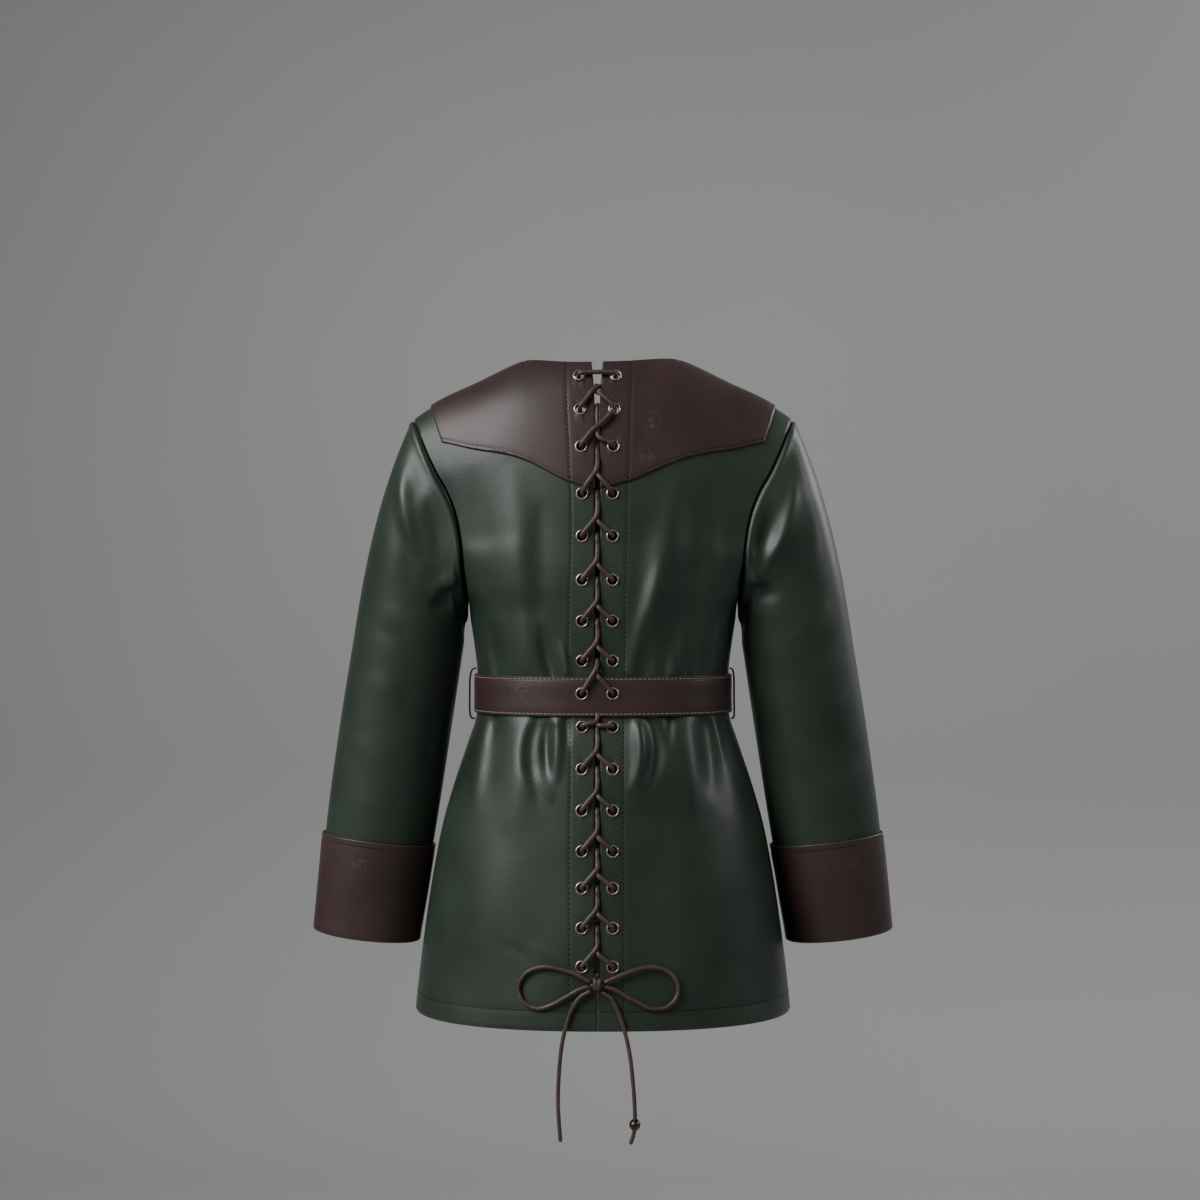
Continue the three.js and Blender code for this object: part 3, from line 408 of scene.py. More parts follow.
# Lights: name, place, what each points at, its width and height, its power and its spread in degrees.
LIGHTS = (
    ("Key", (2.1, 1.75, 1.6), (0, 0, -0.2), (2.15, 2.15), 38, 110),
    ("Fill", (-2.2, 0.35, 0.7), (-0.18, 0, -0.2), (0.56, 1.02), 9, 180),
    ("Front fill", (-2.3, -1.3, 0.9), (0, 0, -0.25), (1.13, 1.58), 24, 180),
    ("Wall", (0.0, -0.9, 0.3), (0, -1.9, -0.3), (0.9, 0.56), 2, 180),
)
SURROUND_GREY, SURROUND_STRENGTH = (0.5, 0.5, 0.5, 1), 0.18


# ---- Small helpers ----
def mix(a, b, t):
    """The value a share t of the way from a to b."""
    return a + (b - a) * t


def ease(start, end, t):
    """Nought before start and one after end, with a smooth rise between."""
    u = np.clip((t - start) / (end - start), 0, 1)
    return u * u * (3 - 2 * u)


def read_table(table, at, column):
    """A column of a table, read between its rows along a smooth curve."""
    keys, values = table[:, 0], table[:, column]
    at = np.asarray(at, float)
    last = len(keys) - 1
    i = np.clip(np.searchsorted(keys, at, side="left") - 1, 0, last - 1)
    before, after = np.maximum(0, i - 1), np.minimum(last, i + 2)
    step = keys[i + 1] - keys[i]
    t = np.clip((at - keys[i]) / step, 0, 1)
    slope_a = (values[i + 1] - values[before]) / (keys[i + 1] - keys[before]) * step
    slope_b = (values[after] - values[i]) / (keys[after] - keys[i]) * step
    t2, t3 = t * t, t * t * t
    return (
        (2 * t3 - 3 * t2 + 1) * values[i]
        + (t3 - 2 * t2 + t) * slope_a
        + (3 * t2 - 2 * t3) * values[i + 1]
        + (t3 - t2) * slope_b
    )


def spaced(start, end, count, crowd_start=0.0, crowd_end=0.0):
    """Steps from start to end, crowded towards either end by 0 to 1. The end is left out."""
    t = np.arange(count) / count
    t = mix(t, 1 - np.cos(t * np.pi / 2), crowd_start)
    t = mix(t, np.sin(t * np.pi / 2), crowd_end)
    return mix(start, end, t)


# ---- The tunic's form ----
def widened(z, start):
    """Nought up to a height, growing to one at the neck."""
    return np.clip((z - start) / -start, 0, 1) ** 1.5


def slit_half(z):
    """Half the slit's width. It closes below the knot."""
    closed = 1 - ease(KNOT_Z - 3, KNOT_Z + 4, z)
    return mix(mix(SLIT_HALF, SLIT_NECK_HALF, widened(z, SLIT_WIDENS)), SLIT_HEM_HALF, closed)


def ridge_height(x):
    """The shoulder line, a little straighter than a parabola from the neck to the armhole."""
    flatter = np.exp(-(((np.abs(x) - RIDGE_FLAT_X) / RIDGE_FLAT_REACH) ** 2))
    return RIDGE_MIDDLE - RIDGE_FALL * x * x - RIDGE_FLAT * flatter


def chest_depth(s, rise, chest):
    """How deep the body is above the armpit, from the armhole at s = 1 to the middle at 0."""
    side = ARM_DEPTH * ease(-0.12, 0.3, rise) * ease(0, 0.12, rise)
    power = mix(ROUNDNESS, 1, ease(0, 0.35, rise))
    return side + (chest - side) * np.maximum(0, 1 - np.abs(s) ** ROUNDNESS) ** (1 / power)


def fold_lift(folds, x, z):
    """Folds that rise just below their top and fade out further down."""
    lift = np.zeros(np.broadcast(x, z).shape)
    for top_x, foot_x, top, bottom, breadth, height in folds:
        t = np.clip((top - z) / (top - bottom), 0, 1)
        away = (x - mix(top_x, foot_x, t)) / breadth
        lift += height * np.sin(np.pi * np.sqrt(t)) * np.exp(-away * away)
    return lift


def crease_lift(creases, x, z):
    """Soft troughs and ridges along short bowed lines that fade out at both ends."""
    lift = np.zeros(np.broadcast(x, z).shape)
    for x0, z0, x1, z1, bow, breadth, height in creases:
        run, fall = x1 - x0, z1 - z0
        length = math.hypot(run, fall)
        t = np.clip(((x - x0) * run + (z - z0) * fall) / length**2, 0, 1)
        aside = ((x - x0) * fall - (z - z0) * run) / length - bow * 4 * t * (1 - t)
        fade = np.sin(np.pi * t) ** 1.1
        width = breadth * (0.65 + 0.6 * fade)
        lift += height * fade * np.exp(-((aside / width) ** 2))
    return lift


def wrinkle_marks(patches, x, z):
    """How strongly the cloth is wrinkled, and each point's place across the patch's strokes."""
    shape = np.broadcast(x, z).shape
    mask, across_strokes = np.zeros(shape), np.zeros(shape)
    for px, pz, across, along, lean, strength in patches:
        far = ((x - px) / across) ** 2 + ((z - pz) / along) ** 2
        here = strength * np.exp(-1.6 * far)
        angle = math.radians(lean)
        place = ((z - pz) * math.cos(angle) - (x - px) * math.sin(angle)) * MM
        across_strokes = np.where(here > mask, place, across_strokes)
        mask = np.maximum(mask, here)
    return {"wrinkles": mask, "strokes": across_strokes}


def creased(creases, x, z):
    """The creases' lift. Under the belt the ridges are pressed flat and the troughs run on."""
    lift = crease_lift(creases, x, z)
    pressed = ease(BELT_BOTTOM - 3, BELT_BOTTOM, z) * (1 - ease(BELT_TOP, BELT_TOP + 3, z))
    return np.where(lift > 0, lift * (1 - pressed), lift)


def chest_point(s, turn):
    """A point above the armpit. turn runs from 0 at the back over the shoulder to pi."""
    rise, over = np.sin(turn), np.cos(turn)
    x = s * read_table(ARMHOLE, rise, 1)
    z = ARMPIT_Z + (ridge_height(x) - ARMPIT_Z) * rise
    chest = np.where(over >= 0, BACK_CHEST, FRONT_CHEST)
    y = np.sign(over) * np.abs(over) ** CAP_POWER * chest_depth(s, rise, chest)
    return np.stack(np.broadcast_arrays(x, y, z), -1)


def skirt_point(s, z, side):
    """A point below the armpit, on the back (side 1) or the front (side -1)."""
    depth = read_table(BODY, z, 2 if side > 0 else 3)
    x = s * read_table(BODY, z, 1)
    y = side * depth * np.maximum(0, 1 - np.abs(s) ** ROUNDNESS) ** (1 / ROUNDNESS)
    return np.stack(np.broadcast_arrays(x, y, z), -1)


def back_depth(x, z):
    """How deep the back's cloth lies at a place, with its folds and creases."""
    x, z = np.broadcast_arrays(np.asarray(x, float), np.asarray(z, float))
    low = skirt_point(x / read_table(BODY, z, 1), z, 1)[..., 1]
    rise = np.clip((z - ARMPIT_Z) / (ridge_height(x) - ARMPIT_Z), 0, 1)
    over = np.sqrt(np.maximum(0, 1 - rise * rise))
    s = x / read_table(ARMHOLE, rise, 1)
    high = over**CAP_POWER * chest_depth(s, rise, BACK_CHEST)
    depth = np.where(z < ARMPIT_Z, low, high)
    return depth + fold_lift(BACK_FOLDS, x, z) + creased(BACK_CREASES, x, z)


def back_normal(x, z):
    slope_x = (back_depth(x + 1, z) - back_depth(x - 1, z)) / 2
    slope_z = (back_depth(x, z + 1) - back_depth(x, z - 1)) / 2
    normal = np.stack(np.broadcast_arrays(-slope_x, 1.0, -slope_z), -1)
    return normal / np.linalg.norm(normal, axis=-1, keepdims=True)


def on_back(x, z, off):
    """A place on the back, moved out from the cloth. Below the hem it hangs straight down."""
    x, z, off = (np.asarray(v, float) for v in (x, z, off))
    held = np.maximum(z, HEM_Z + 2)
    point = np.stack(np.broadcast_arrays(x, back_depth(x, held), held), -1)
    point = point + back_normal(x, held) * off[..., None]
    point[..., 2] += z - held
    return point


# ---- Grids of points ----
class Grid:
    """Rows of points with their normals. A closed grid goes round and joins up across."""

    def __init__(self, points, inside, closed=False):
        self.points = points
        self.closed = closed
        if closed:
            across = np.roll(points, -1, 1) - np.roll(points, 1, 1)
        else:
            across = np.gradient(points, axis=1)
        along = np.gradient(points, axis=0)
        normals = np.cross(across, along)
        normals /= np.maximum(np.linalg.norm(normals, axis=-1, keepdims=True), 1e-9)
        if np.sum(normals * (points - inside)) < 0:
            normals = -normals
        self.normals = normals

    def cut(self, rows, cols=slice(None)):
        """A smaller grid that keeps the normals of this one."""
        part = object.__new__(Grid)
        part.points = self.points[rows, cols]
        part.normals = self.normals[rows, cols]
        part.closed = self.closed
        return part

    def at(self, off):
        """The points, moved out along their normals."""
        off = np.broadcast_to(off, self.points.shape[:2])
        return self.points + self.normals * off[..., None]

    def from_edge(self, edge):
        """How far each point lies from one edge: foot, top, start or end."""
        axis = 0 if edge in ("foot", "top") else 1
        steps = np.linalg.norm(np.diff(self.points, axis=axis), axis=-1)
        far = np.insert(np.cumsum(steps, axis=axis), 0, 0, axis=axis)
        if edge in ("top", "end"):
            whole = far[-1:, :] if axis == 0 else far[:, -1:]
            far = whole - far
        return far

    def line_at(self, edge, distance):
        """The points and normals of a line that keeps one distance from the foot or top."""
        far = self.from_edge(edge)
        points, normals = [], []
        for i in range(far.shape[1]):
            column = far[:, i]
            order = np.argsort(column)
            for values, out in ((self.points, points), (self.normals, normals)):
                out.append([
                    np.interp(distance, column[order], values[order, i, k]) for k in range(3)
                ])
        return np.array(points), np.array(normals)


def rolled(far, radius):
    """How far an edge turns in, by distance from it."""
    near = np.clip(1 - far / radius, 0, 1)
    return -radius * (1 - np.sqrt(np.maximum(0, 1 - near * near)))


def groove(far, place, width, depth):
    """A soft dip along a line that lies at a distance from an edge."""
    return -depth * np.exp(-(((far - place) / width) ** 2))


def column_end(s, side):
    """How far a column runs over the shoulder: to the seam, or to the neck's oval."""
    seam = np.pi / 2 + SHOULDER_SEAM
    reach = NECK_BACK if side > 0 else NECK_FRONT

    def in_neck(turn):
        point = chest_point(s, turn)
        return (point[..., 0] / NECK_HALF) ** 2 + (point[..., 1] / reach) ** 2 < 0.9999

    near = np.full_like(s, 0 if side > 0 else np.pi)
    far = np.full_like(s, seam)
    whole = ~in_neck(far)
    # Halving the span thirty times finds where the column meets the oval.
    for _ in range(30):
        middle = (near + far) / 2
        inside = in_neck(middle)
        far = np.where(inside, middle, far)
        near = np.where(inside, near, middle)
    return np.where(whole, seam, near)


# Columns across the half back: by the lacing, up to the neck's side, up to the yoke's end, and on to
# the side seam. Those by the lacing take up this share of the half.
LACING_COLUMNS, NECK_COLUMNS, YOKE_COLUMNS, SIDE_COLUMNS = 30, 12, 34, 9
LACING_REACH = 0.24
HALF_COLUMNS = np.concatenate([
    spaced(0, LACING_REACH, LACING_COLUMNS, 0.35),
    spaced(LACING_REACH, NECK_COLUMN, NECK_COLUMNS),
    spaced(NECK_COLUMN, YOKE_REACH, YOKE_COLUMNS, 0, 0.5),
    spaced(YOKE_REACH, 1, SIDE_COLUMNS, 0.3, 0.4),
    [1.0],
])
YOKE_END_COLUMN = LACING_COLUMNS + NECK_COLUMNS + YOKE_COLUMNS
BELT_MIDDLE = mix(BELT_BOTTOM, BELT_TOP, 0.5)
# Rows from the hem up: heights below the armpit, and shares of the way over the shoulder above it.
ROWS = {
    "skirt": spaced(HEM_Z, BELT_BOTTOM, 84, 0.3),
    "belt": np.concatenate([
        spaced(BELT_BOTTOM, BELT_MIDDLE, 11, 0.8),
        spaced(BELT_MIDDLE, BELT_TOP, 11, 0, 0.8),
    ]),
    "waist": spaced(BELT_TOP, ARMPIT_Z, 18),
    "chest": spaced(0, 1, 40, 0, 0.3),
    "yoke": np.append(spaced(0, 1, 46, 0.7, 0.4), [1.0, 1.03]),
}
BELT_ROW = len(ROWS["skirt"])
WAIST_ROW = BELT_ROW + len(ROWS["belt"])
YOKE_ROW = WAIST_ROW + len(ROWS["waist"]) + len(ROWS["chest"])
BODY_MIDDLE = np.array([0, 0, ARMPIT_Z])


def panel_grid(columns, side, folds, creases, slit_at=None):
    """A body panel from its hem to its top. slit_at gives where its first column runs."""
    rows = []
    reach = 1 - ease(0, SLIT_SHARE, np.abs(columns))

    def place(make, half):
        points = make(columns)
        if slit_at:
            points = make(columns + slit_at(points[:, 2]) / half * reach)
        x, z = points[:, 0], points[:, 2]
        lift = fold_lift(folds, x, z) + creased(creases, x, z)
        lift *= 1 - np.abs(columns) ** 6
        rows.append(np.stack([x, points[:, 1] + side * (lift + SEAM_GAP / 2), z], -1))

    for z in np.concatenate([ROWS["skirt"], ROWS["belt"], ROWS["waist"]]):
        place(lambda s: skirt_point(s, np.full_like(s, z), side), read_table(BODY, z, 1))
    yoke_turn = np.arcsin(read_table(YOKE_EDGE, np.abs(columns), 1))
    if side < 0:
        yoke_turn = np.pi - yoke_turn
    start = np.full_like(columns, 0 if side > 0 else np.pi)
    stages = ((start, yoke_turn, "chest"), (yoke_turn, column_end(columns, side), "yoke"))
    for low, high, name in stages:
        for t in ROWS[name]:
            turn = mix(low, high, t)
            place(lambda s: chest_point(s, turn), read_table(ARMHOLE, np.sin(turn), 1))
    whole = Grid(np.array(rows), BODY_MIDDLE)
    return whole.cut(slice(0, -1))


def slit_edge(hand):
    """Where one back panel's edge runs at the slit, by height."""
    return lambda z: OPENING_X + hand * slit_half(z)


BACK = {
    hand: panel_grid(hand * HALF_COLUMNS, 1, BACK_FOLDS, BACK_CREASES, slit_edge(hand))
    for hand, _ in HANDS
}
HALF_FRONT = np.append(HALF_COLUMNS[:-1:2], 1.0)
FRONT_COLUMNS = np.concatenate([-HALF_FRONT[:0:-1], HALF_FRONT])
FRONT = panel_grid(FRONT_COLUMNS, -1, FRONT_FOLDS, FRONT_CREASES)


# ---- Sleeves ----
def arm_point(hand, angle, z, off=0.0):
    """A ring round the arm: outward at angle 0, back at a quarter turn."""
    half = read_table(ARM, z, 3) + off
    deep = read_table(ARM, z, 4) + off
    x = read_table(ARM, z, 1) + half * np.cos(angle)
    y = read_table(ARM, z, 2) + deep * np.sin(angle)
    height = z + SLEEVE_TILT * half * np.cos(angle)
    return np.stack(np.broadcast_arrays(hand * x, y, height), -1)


def cap_point(hand, angle, t):
    """The cap leaves the armhole outwards and bends down into the arm's first ring."""
    start = chest_point(np.ones_like(angle), (np.pi - angle) / 2)
    start[:, 0] = hand * (start[:, 0] + SET_IN)
    end = arm_point(hand, angle, np.full_like(angle, ELBOW_TOP))
    span = np.linalg.norm(end - start, axis=1, keepdims=True)
    under = (1 - np.cos(angle)) / 2
    leave = np.stack(
        [hand * mix(0.42, 0.72, under), 0.2 * np.sin(angle), np.full_like(angle, -0.9)], -1
    )
    leave /= np.linalg.norm(leave, axis=1, keepdims=True)
    arrive = np.array([hand * 0.15, -0.05, -0.99])
    arrive /= np.linalg.norm(arrive)
    t2, t3 = t * t, t**3
    return (
        start * (2 * t3 - 3 * t2 + 1)
        + leave * (t3 - 2 * t2 + t) * span
        + end * (3 * t2 - 2 * t3)
        + arrive * (t3 - t2) * span
    )


def armhole_normal(hand, turn):
    """The normal of the body's cloth at its armhole."""
    ones = np.ones_like(turn)
    across = chest_point(ones, turn) - chest_point(ones * 0.97, turn)
    along = chest_point(ones, turn + 0.02) - chest_point(ones, turn - 0.02)
    normal = np.cross(along, across)
    normal /= np.linalg.norm(normal, axis=1, keepdims=True)
    normal[:, 0] *= hand
    return normal


# Angles round the arm, steps down the cap and heights down the arm.
SLEEVE_COLUMNS = 112
RING = np.pi - 2 * np.pi * (np.arange(SLEEVE_COLUMNS) + 0.5) / SLEEVE_COLUMNS
CAP_ROWS = np.linspace(0, 1, 63)[:-1] ** 1.15
ARM_ROWS = np.linspace(ELBOW_TOP, SLEEVE_END, 86)


def sleeve_grid(hand):
    """A sleeve from its armhole to its end. Its first row's normals follow the body's cloth."""
    rows = [cap_point(hand, RING, t) for t in CAP_ROWS]
    rows += [arm_point(hand, RING, np.full_like(RING, z)) for z in ARM_ROWS]
    inside = np.array([hand * 160.0, 0, -250])
    smooth = Grid(np.array(rows), inside, closed=True)
    own = ease(0.1, 0.5, (1 - np.cos(RING)) / 2)[:, None]
    first = mix(armhole_normal(hand, (np.pi - RING) / 2), smooth.normals[0], own)
    smooth.normals[0] = first / np.linalg.norm(first, axis=1, keepdims=True)
    across, along = smooth.points[..., 0] * hand, smooth.points[..., 2]
    facing = ease(-0.25, 0.3, np.sin(RING))[None, :]
    lift = crease_lift(SLEEVE_CREASES["back", hand], across, along) * facing
    lift += crease_lift(SLEEVE_CREASES["front", hand], across, along) * (1 - facing)
    lift *= ease(0, 16, smooth.from_edge("foot")) * ease(CUFF_TOP - 4, CUFF_TOP + 16, along)
    folded = Grid(smooth.at(lift), inside, closed=True)
    folded.normals[0] = smooth.normals[0]
    return folded


SLEEVE = {hand: sleeve_grid(hand) for hand, _ in HANDS}


# ---- Meshes ----
def add_object(name, mesh, slot, *finishes):
    """Puts a finished mesh in the scene, riding on the tunic."""
    mesh.name = name
    piece = bpy.data.objects.new(name, mesh)
    bpy.context.scene.collection.objects.link(piece)
    for material in finishes:
        mesh.materials.append(material)
    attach(piece, "root")
    return piece


def mesh_from(vertices, faces):
    """A smooth mesh from points in millimetres."""
    mesh = bpy.data.meshes.new("piece")
    mesh.from_pydata((np.asarray(vertices) * MM).tolist(), [], faces)
    mesh.shade_smooth()
    mesh.set_sharp_from_angle(angle=SHARP_FROM)
    return mesh


def outwards(mesh):
    """Turns a closed mesh's faces outwards."""
    shape = bmesh.new()
    shape.from_mesh(mesh)
    bmesh.ops.recalc_face_normals(shape, faces=shape.faces)
    shape.to_mesh(mesh)
    shape.free()
    mesh.shade_smooth()
    mesh.set_sharp_from_angle(angle=SHARP_FROM)


def write_attribute(mesh, name, values):
    """Keeps one number for each point of a mesh, for its material to read."""
    attribute = mesh.attributes.new(name, "FLOAT", "POINT")
    attribute.data.foreach_set("value", np.asarray(values, np.float32))


def write_places(mesh, name, places):
    """Texture places in a UV map, one for each corner of each face."""
    layer = mesh.uv_layers.new(name=name)
    layer.data.foreach_set("uv", np.array(places, np.float32).ravel())


def cloth_shell(grid, outer, inner, holes, marks):
    """A closed cloth wall between two offsets from a grid, with round holes cut through.

    holes are (x, z, radius) seen from behind. marks are named values at each point of the grid.
    """
    rows, cols = grid.points.shape[:2]
    skin, lining = grid.at(outer), grid.at(inner)
    keep = np.ones((rows, cols), bool)
    for x, z, radius in holes:
        keep &= (np.hypot(skin[..., 0] - x, skin[..., 2] - z) > radius) | (skin[..., 1] < 0)
    # The points that border a hole are drawn onto its round edge.
    for x, z, radius in holes:
        beside = np.hypot(skin[..., 0] - x, skin[..., 2] - z)
        ring = keep & (beside < radius + HOLE_BORDER) & (skin[..., 1] > 0)
        lost = ~keep
        touching = np.zeros_like(keep)
        for dj in (-1, 0, 1):
            for di in (-1, 0, 1):
                touching |= np.roll(np.roll(lost, dj, 0), di, 1)
        ring &= touching
        for layer in (skin, lining):
            away = layer[ring][:, [0, 2]] - (x, z)
            away *= radius / np.linalg.norm(away, axis=1, keepdims=True)
            snapped = layer[ring]
            snapped[:, [0, 2]] = away + (x, z)
            layer[ring] = snapped
    across = cols if grid.closed else cols - 1
    outer_quads = []
    corners_uv = []
    along_u = np.arange(cols + 1) / cols
    along_v = np.arange(rows) / rows
    for j in range(rows - 1):
        for i in range(across):
            n = (i + 1) % cols
            if keep[j, i] and keep[j, n] and keep[j + 1, n] and keep[j + 1, i]:
                outer_quads.append((j * cols + i, j * cols + n, (j + 1) * cols + n, (j + 1) * cols + i))
                corners_uv.append((
                    (along_u[i], along_v[j]), (along_u[i + 1], along_v[j]),
                    (along_u[i + 1], along_v[j + 1]), (along_u[i], along_v[j + 1]),
                ))
    flat_skin = skin.reshape(-1, 3)
    flat_normals = grid.normals.reshape(-1, 3)
    quads = np.array(outer_quads)
    facing = np.cross(
        flat_skin[quads[:, 2]] - flat_skin[quads[:, 0]], flat_skin[quads[:, 3]] - flat_skin[quads[:, 1]]
    )
    if np.sum(facing * flat_normals[quads[:, 0]]) < 0:
        outer_quads = [q[::-1] for q in outer_quads]
        corners_uv = [c[::-1] for c in corners_uv]
    count = rows * cols
    # Edges with one face alone are the shell's rims. A dictionary keeps their order.
    open_edges = {}
    for q in outer_quads:
        for k in range(4):
            a, b = q[k], q[(k + 1) % 4]
            if (b, a) in open_edges:
                del open_edges[b, a]
            else:
                open_edges[a, b] = True
    inner_quads = [tuple(v + count for v in q[::-1]) for q in outer_quads]
    rims = [(b, a, a + count, b + count) for a, b in open_edges]
    faces = outer_quads + inner_quads + rims
    vertices = np.concatenate([flat_skin, lining.reshape(-1, 3)])
    used = np.unique(np.array(faces).ravel())
    renumber = np.full(2 * count, -1)
    renumber[used] = np.arange(len(used))
    faces = [tuple(int(renumber[v]) for v in face) for face in faces]
    mesh = mesh_from(vertices[used], faces)
    shares = [uv for c in corners_uv for uv in c] + [uv for c in corners_uv for uv in c[::-1]]
    shares += [(0.0, 0.0)] * (4 * len(rims))
    write_places(mesh, "Cloth", shares)
    indices = np.zeros(len(faces), np.int32)
    indices[len(outer_quads):len(outer_quads) + len(inner_quads)] = 1
    mesh.polygons.foreach_set("material_index", indices)
    for name, values in marks.items():
        flat = np.broadcast_to(values, (rows, cols)).ravel()
        write_attribute(mesh, name, np.concatenate([flat, flat])[used])
    return mesh


def tube_frames(path):
    """Two side directions at each point, carried along without twisting."""
    tangents = np.gradient(path, axis=0)
    tangents /= np.linalg.norm(tangents, axis=1, keepdims=True)
    side = np.cross(tangents[0], (0.3, 0.2, 0.9))
    sides = []
    for tangent in tangents:
        side = side - tangent * np.dot(side, tangent)
        side /= np.linalg.norm(side)
        sides.append(side)
    sides = np.array(sides)
    return sides, np.cross(tangents, sides)


def smooth_path(points, step):
    """A centripetal curve through the points, sampled about every step."""
    points = np.asarray(points, float)
    padded = np.vstack([2 * points[0] - points[1], points, 2 * points[-1] - points[-2]])
    path = []
    for i in range(1, len(padded) - 2):
        p0, p1, p2, p3 = padded[i - 1:i + 3]
        t1 = max(np.linalg.norm(p1 - p0), 1e-6) ** 0.5
        t2 = t1 + max(np.linalg.norm(p2 - p1), 1e-6) ** 0.5
        t3 = t2 + max(np.linalg.norm(p3 - p2), 1e-6) ** 0.5
        count = max(2, round(np.linalg.norm(p2 - p1) / step))
        for t in mix(t1, t2, np.arange(count) / count):
            a1 = (t1 - t) / t1 * p0 + t / t1 * p1
            a2 = (t2 - t) / (t2 - t1) * p1 + (t - t1) / (t2 - t1) * p2
            a3 = (t3 - t) / (t3 - t2) * p2 + (t - t2) / (t3 - t2) * p3
            b1 = (t2 - t) / t2 * a1 + t / t2 * a2
            b2 = (t3 - t) / (t3 - t1) * a2 + (t - t1) / (t3 - t1) * a3
            path.append((t2 - t) / (t2 - t1) * b1 + (t - t1) / (t2 - t1) * b2)
    path.append(padded[-2])
    return np.array(path)


def distances(path):
    """How far along a path each of its points lies."""
    return np.insert(np.cumsum(np.linalg.norm(np.diff(path, axis=0), axis=1)), 0, 0)


def tube_geometry(path, radius, sides):
    """Vertices, faces and texture places of a round lace, slightly uneven, with rounded ends."""
    right, up = tube_frames(path)
    far = distances(path)
    from_end = np.minimum(far, far[-1] - far)
    radii = radius * np.sqrt(np.clip(1 - (1 - np.clip(from_end / radius, 0, 1)) ** 2 * 0.55, 0, 1))
    radii *= 1 + 0.02 * np.sin(far * 0.9) + 0.015 * np.sin(far * 0.37 + 1)
    angles = 2 * np.pi * np.arange(sides) / sides
    ring = np.cos(angles)[None, :, None] * right[:, None] + np.sin(angles)[None, :, None] * up[:, None]
    vertices = (path[:, None] + ring * radii[:, None, None]).reshape(-1, 3)
    faces, shares = [], []
    for j in range(len(path) - 1):
        for i in range(sides):
            n = (i + 1) % sides
            faces.append((j * sides + i, j * sides + n, (j + 1) * sides + n, (j + 1) * sides + i))
            shares += [
                (i / sides, far[j] * MM), ((i + 1) / sides, far[j] * MM),
                ((i + 1) / sides, far[j + 1] * MM), (i / sides, far[j + 1] * MM),
            ]
    faces.append(tuple(range(sides))[::-1])
    faces.append(tuple((len(path) - 1) * sides + i for i in range(sides)))
    shares += [(0.5, 0.0)] * sides + [(0.5, far[-1] * MM)] * sides
    return vertices, faces, shares


def closed_tube(path, radius, sides):
    """Vertices, faces and texture places of a lace that runs round and joins up."""
    count = len(path)
    tangents = np.roll(path, -1, 0) - np.roll(path, 1, 0)
    tangents /= np.linalg.norm(tangents, axis=1, keepdims=True)
    axis = np.cross(path[0] - path.mean(0), path[1] - path.mean(0))
    axis /= np.linalg.norm(axis)
    out = np.cross(tangents, axis)
    angles = 2 * np.pi * np.arange(sides) / sides
    ring = np.cos(angles)[None, :, None] * out[:, None] + np.sin(angles)[None, :, None] * axis
    vertices = (path[:, None] + ring * radius).reshape(-1, 3)
    faces, shares = [], []
    for j in range(count):
        n = (j + 1) % count
        for i in range(sides):
            m = (i + 1) % sides
            faces.append((j * sides + i, j * sides + m, n * sides + m, n * sides + i))
            shares += [
                (i / sides, j * MM), ((i + 1) / sides, j * MM),
                ((i + 1) / sides, (j + 1) * MM), (i / sides, (j + 1) * MM),
            ]
    return vertices, faces, shares


def joined_mesh(parts):
    """One mesh from (vertices, faces, texture places) of separate closed forms."""
    vertices, faces, shares, start = [], [], [], 0
    for points, own_faces, places in parts:
        vertices.append(points)
        faces += [tuple(v + start for v in face) for face in own_faces]
        shares += places
        start += len(points)
    mesh = mesh_from(np.concatenate(vertices), faces)
    write_places(mesh, "Cord", shares)
    outwards(mesh)
    return mesh


def stitch_parts(path, normals, length, gap, width):
    """Small rounded thread ends along a line on the cloth."""
    sides = STITCH_SIDES
    far = distances(path)
    pitch = length + gap
    count = int(far[-1] // pitch)
    parts = []
    margin = (far[-1] - count * pitch + gap) / 2
    # Along the stitch, its breadth, and how far its middle rises, as shares of length and width.
    sections = ((0.0, 0.35, -0.25), (0.2, 0.9, 0.1), (0.8, 0.9, 0.1), (1.0, 0.35, -0.25))
    for k in range(count):
        start = margin + k * pitch
        rings = []
        for t, wide, rise in sections:
            at = start + t * length
            centre = np.array([np.interp(at, far, path[:, i]) for i in range(3)])
            normal = np.array([np.interp(at, far, normals[:, i]) for i in range(3)])
            ahead = np.array([np.interp(at + 0.4, far, path[:, i]) for i in range(3)])
            behind = np.array([np.interp(at - 0.4, far, path[:, i]) for i in range(3)])
            tangent = ahead - behind
            side = np.cross(tangent, normal)
            side /= max(np.linalg.norm(side), 1e-9)
            top = centre + normal * (STITCH_LIFT + rise * width)
            for angle in np.arange(sides) * np.pi / (sides / 2):
                rings.append(top + (side * math.cos(angle) + normal * math.sin(angle)) * wide * width / 2)
        faces = []
        for j in range(len(sections) - 1):
            for i in range(sides):
                n = (i + 1) % sides
                faces.append((j * sides + i, j * sides + n, (j + 1) * sides + n, (j + 1) * sides + i))
        last = (len(sections) - 1) * sides
        faces += [tuple(range(sides))[::-1], tuple(range(last, last + sides))]
        parts.append((np.array(rings), faces, [(0.0, 0.0)] * sum(map(len, faces))))
    return parts


# ---- Node trees ----
def set_inputs(node, values):
    """Sets a node's sockets by their names."""
    for key, value in values.items():
        node.inputs[key].default_value = value


def link(tree, source, target):
    tree.links.new(source, target)


def texture(tree, kind, vector, **values):
    """A texture node that reads the given places."""
    node = tree.nodes.new(kind)
    link(tree, vector, node.inputs["Vector"])
    set_inputs(node, values)
    return node


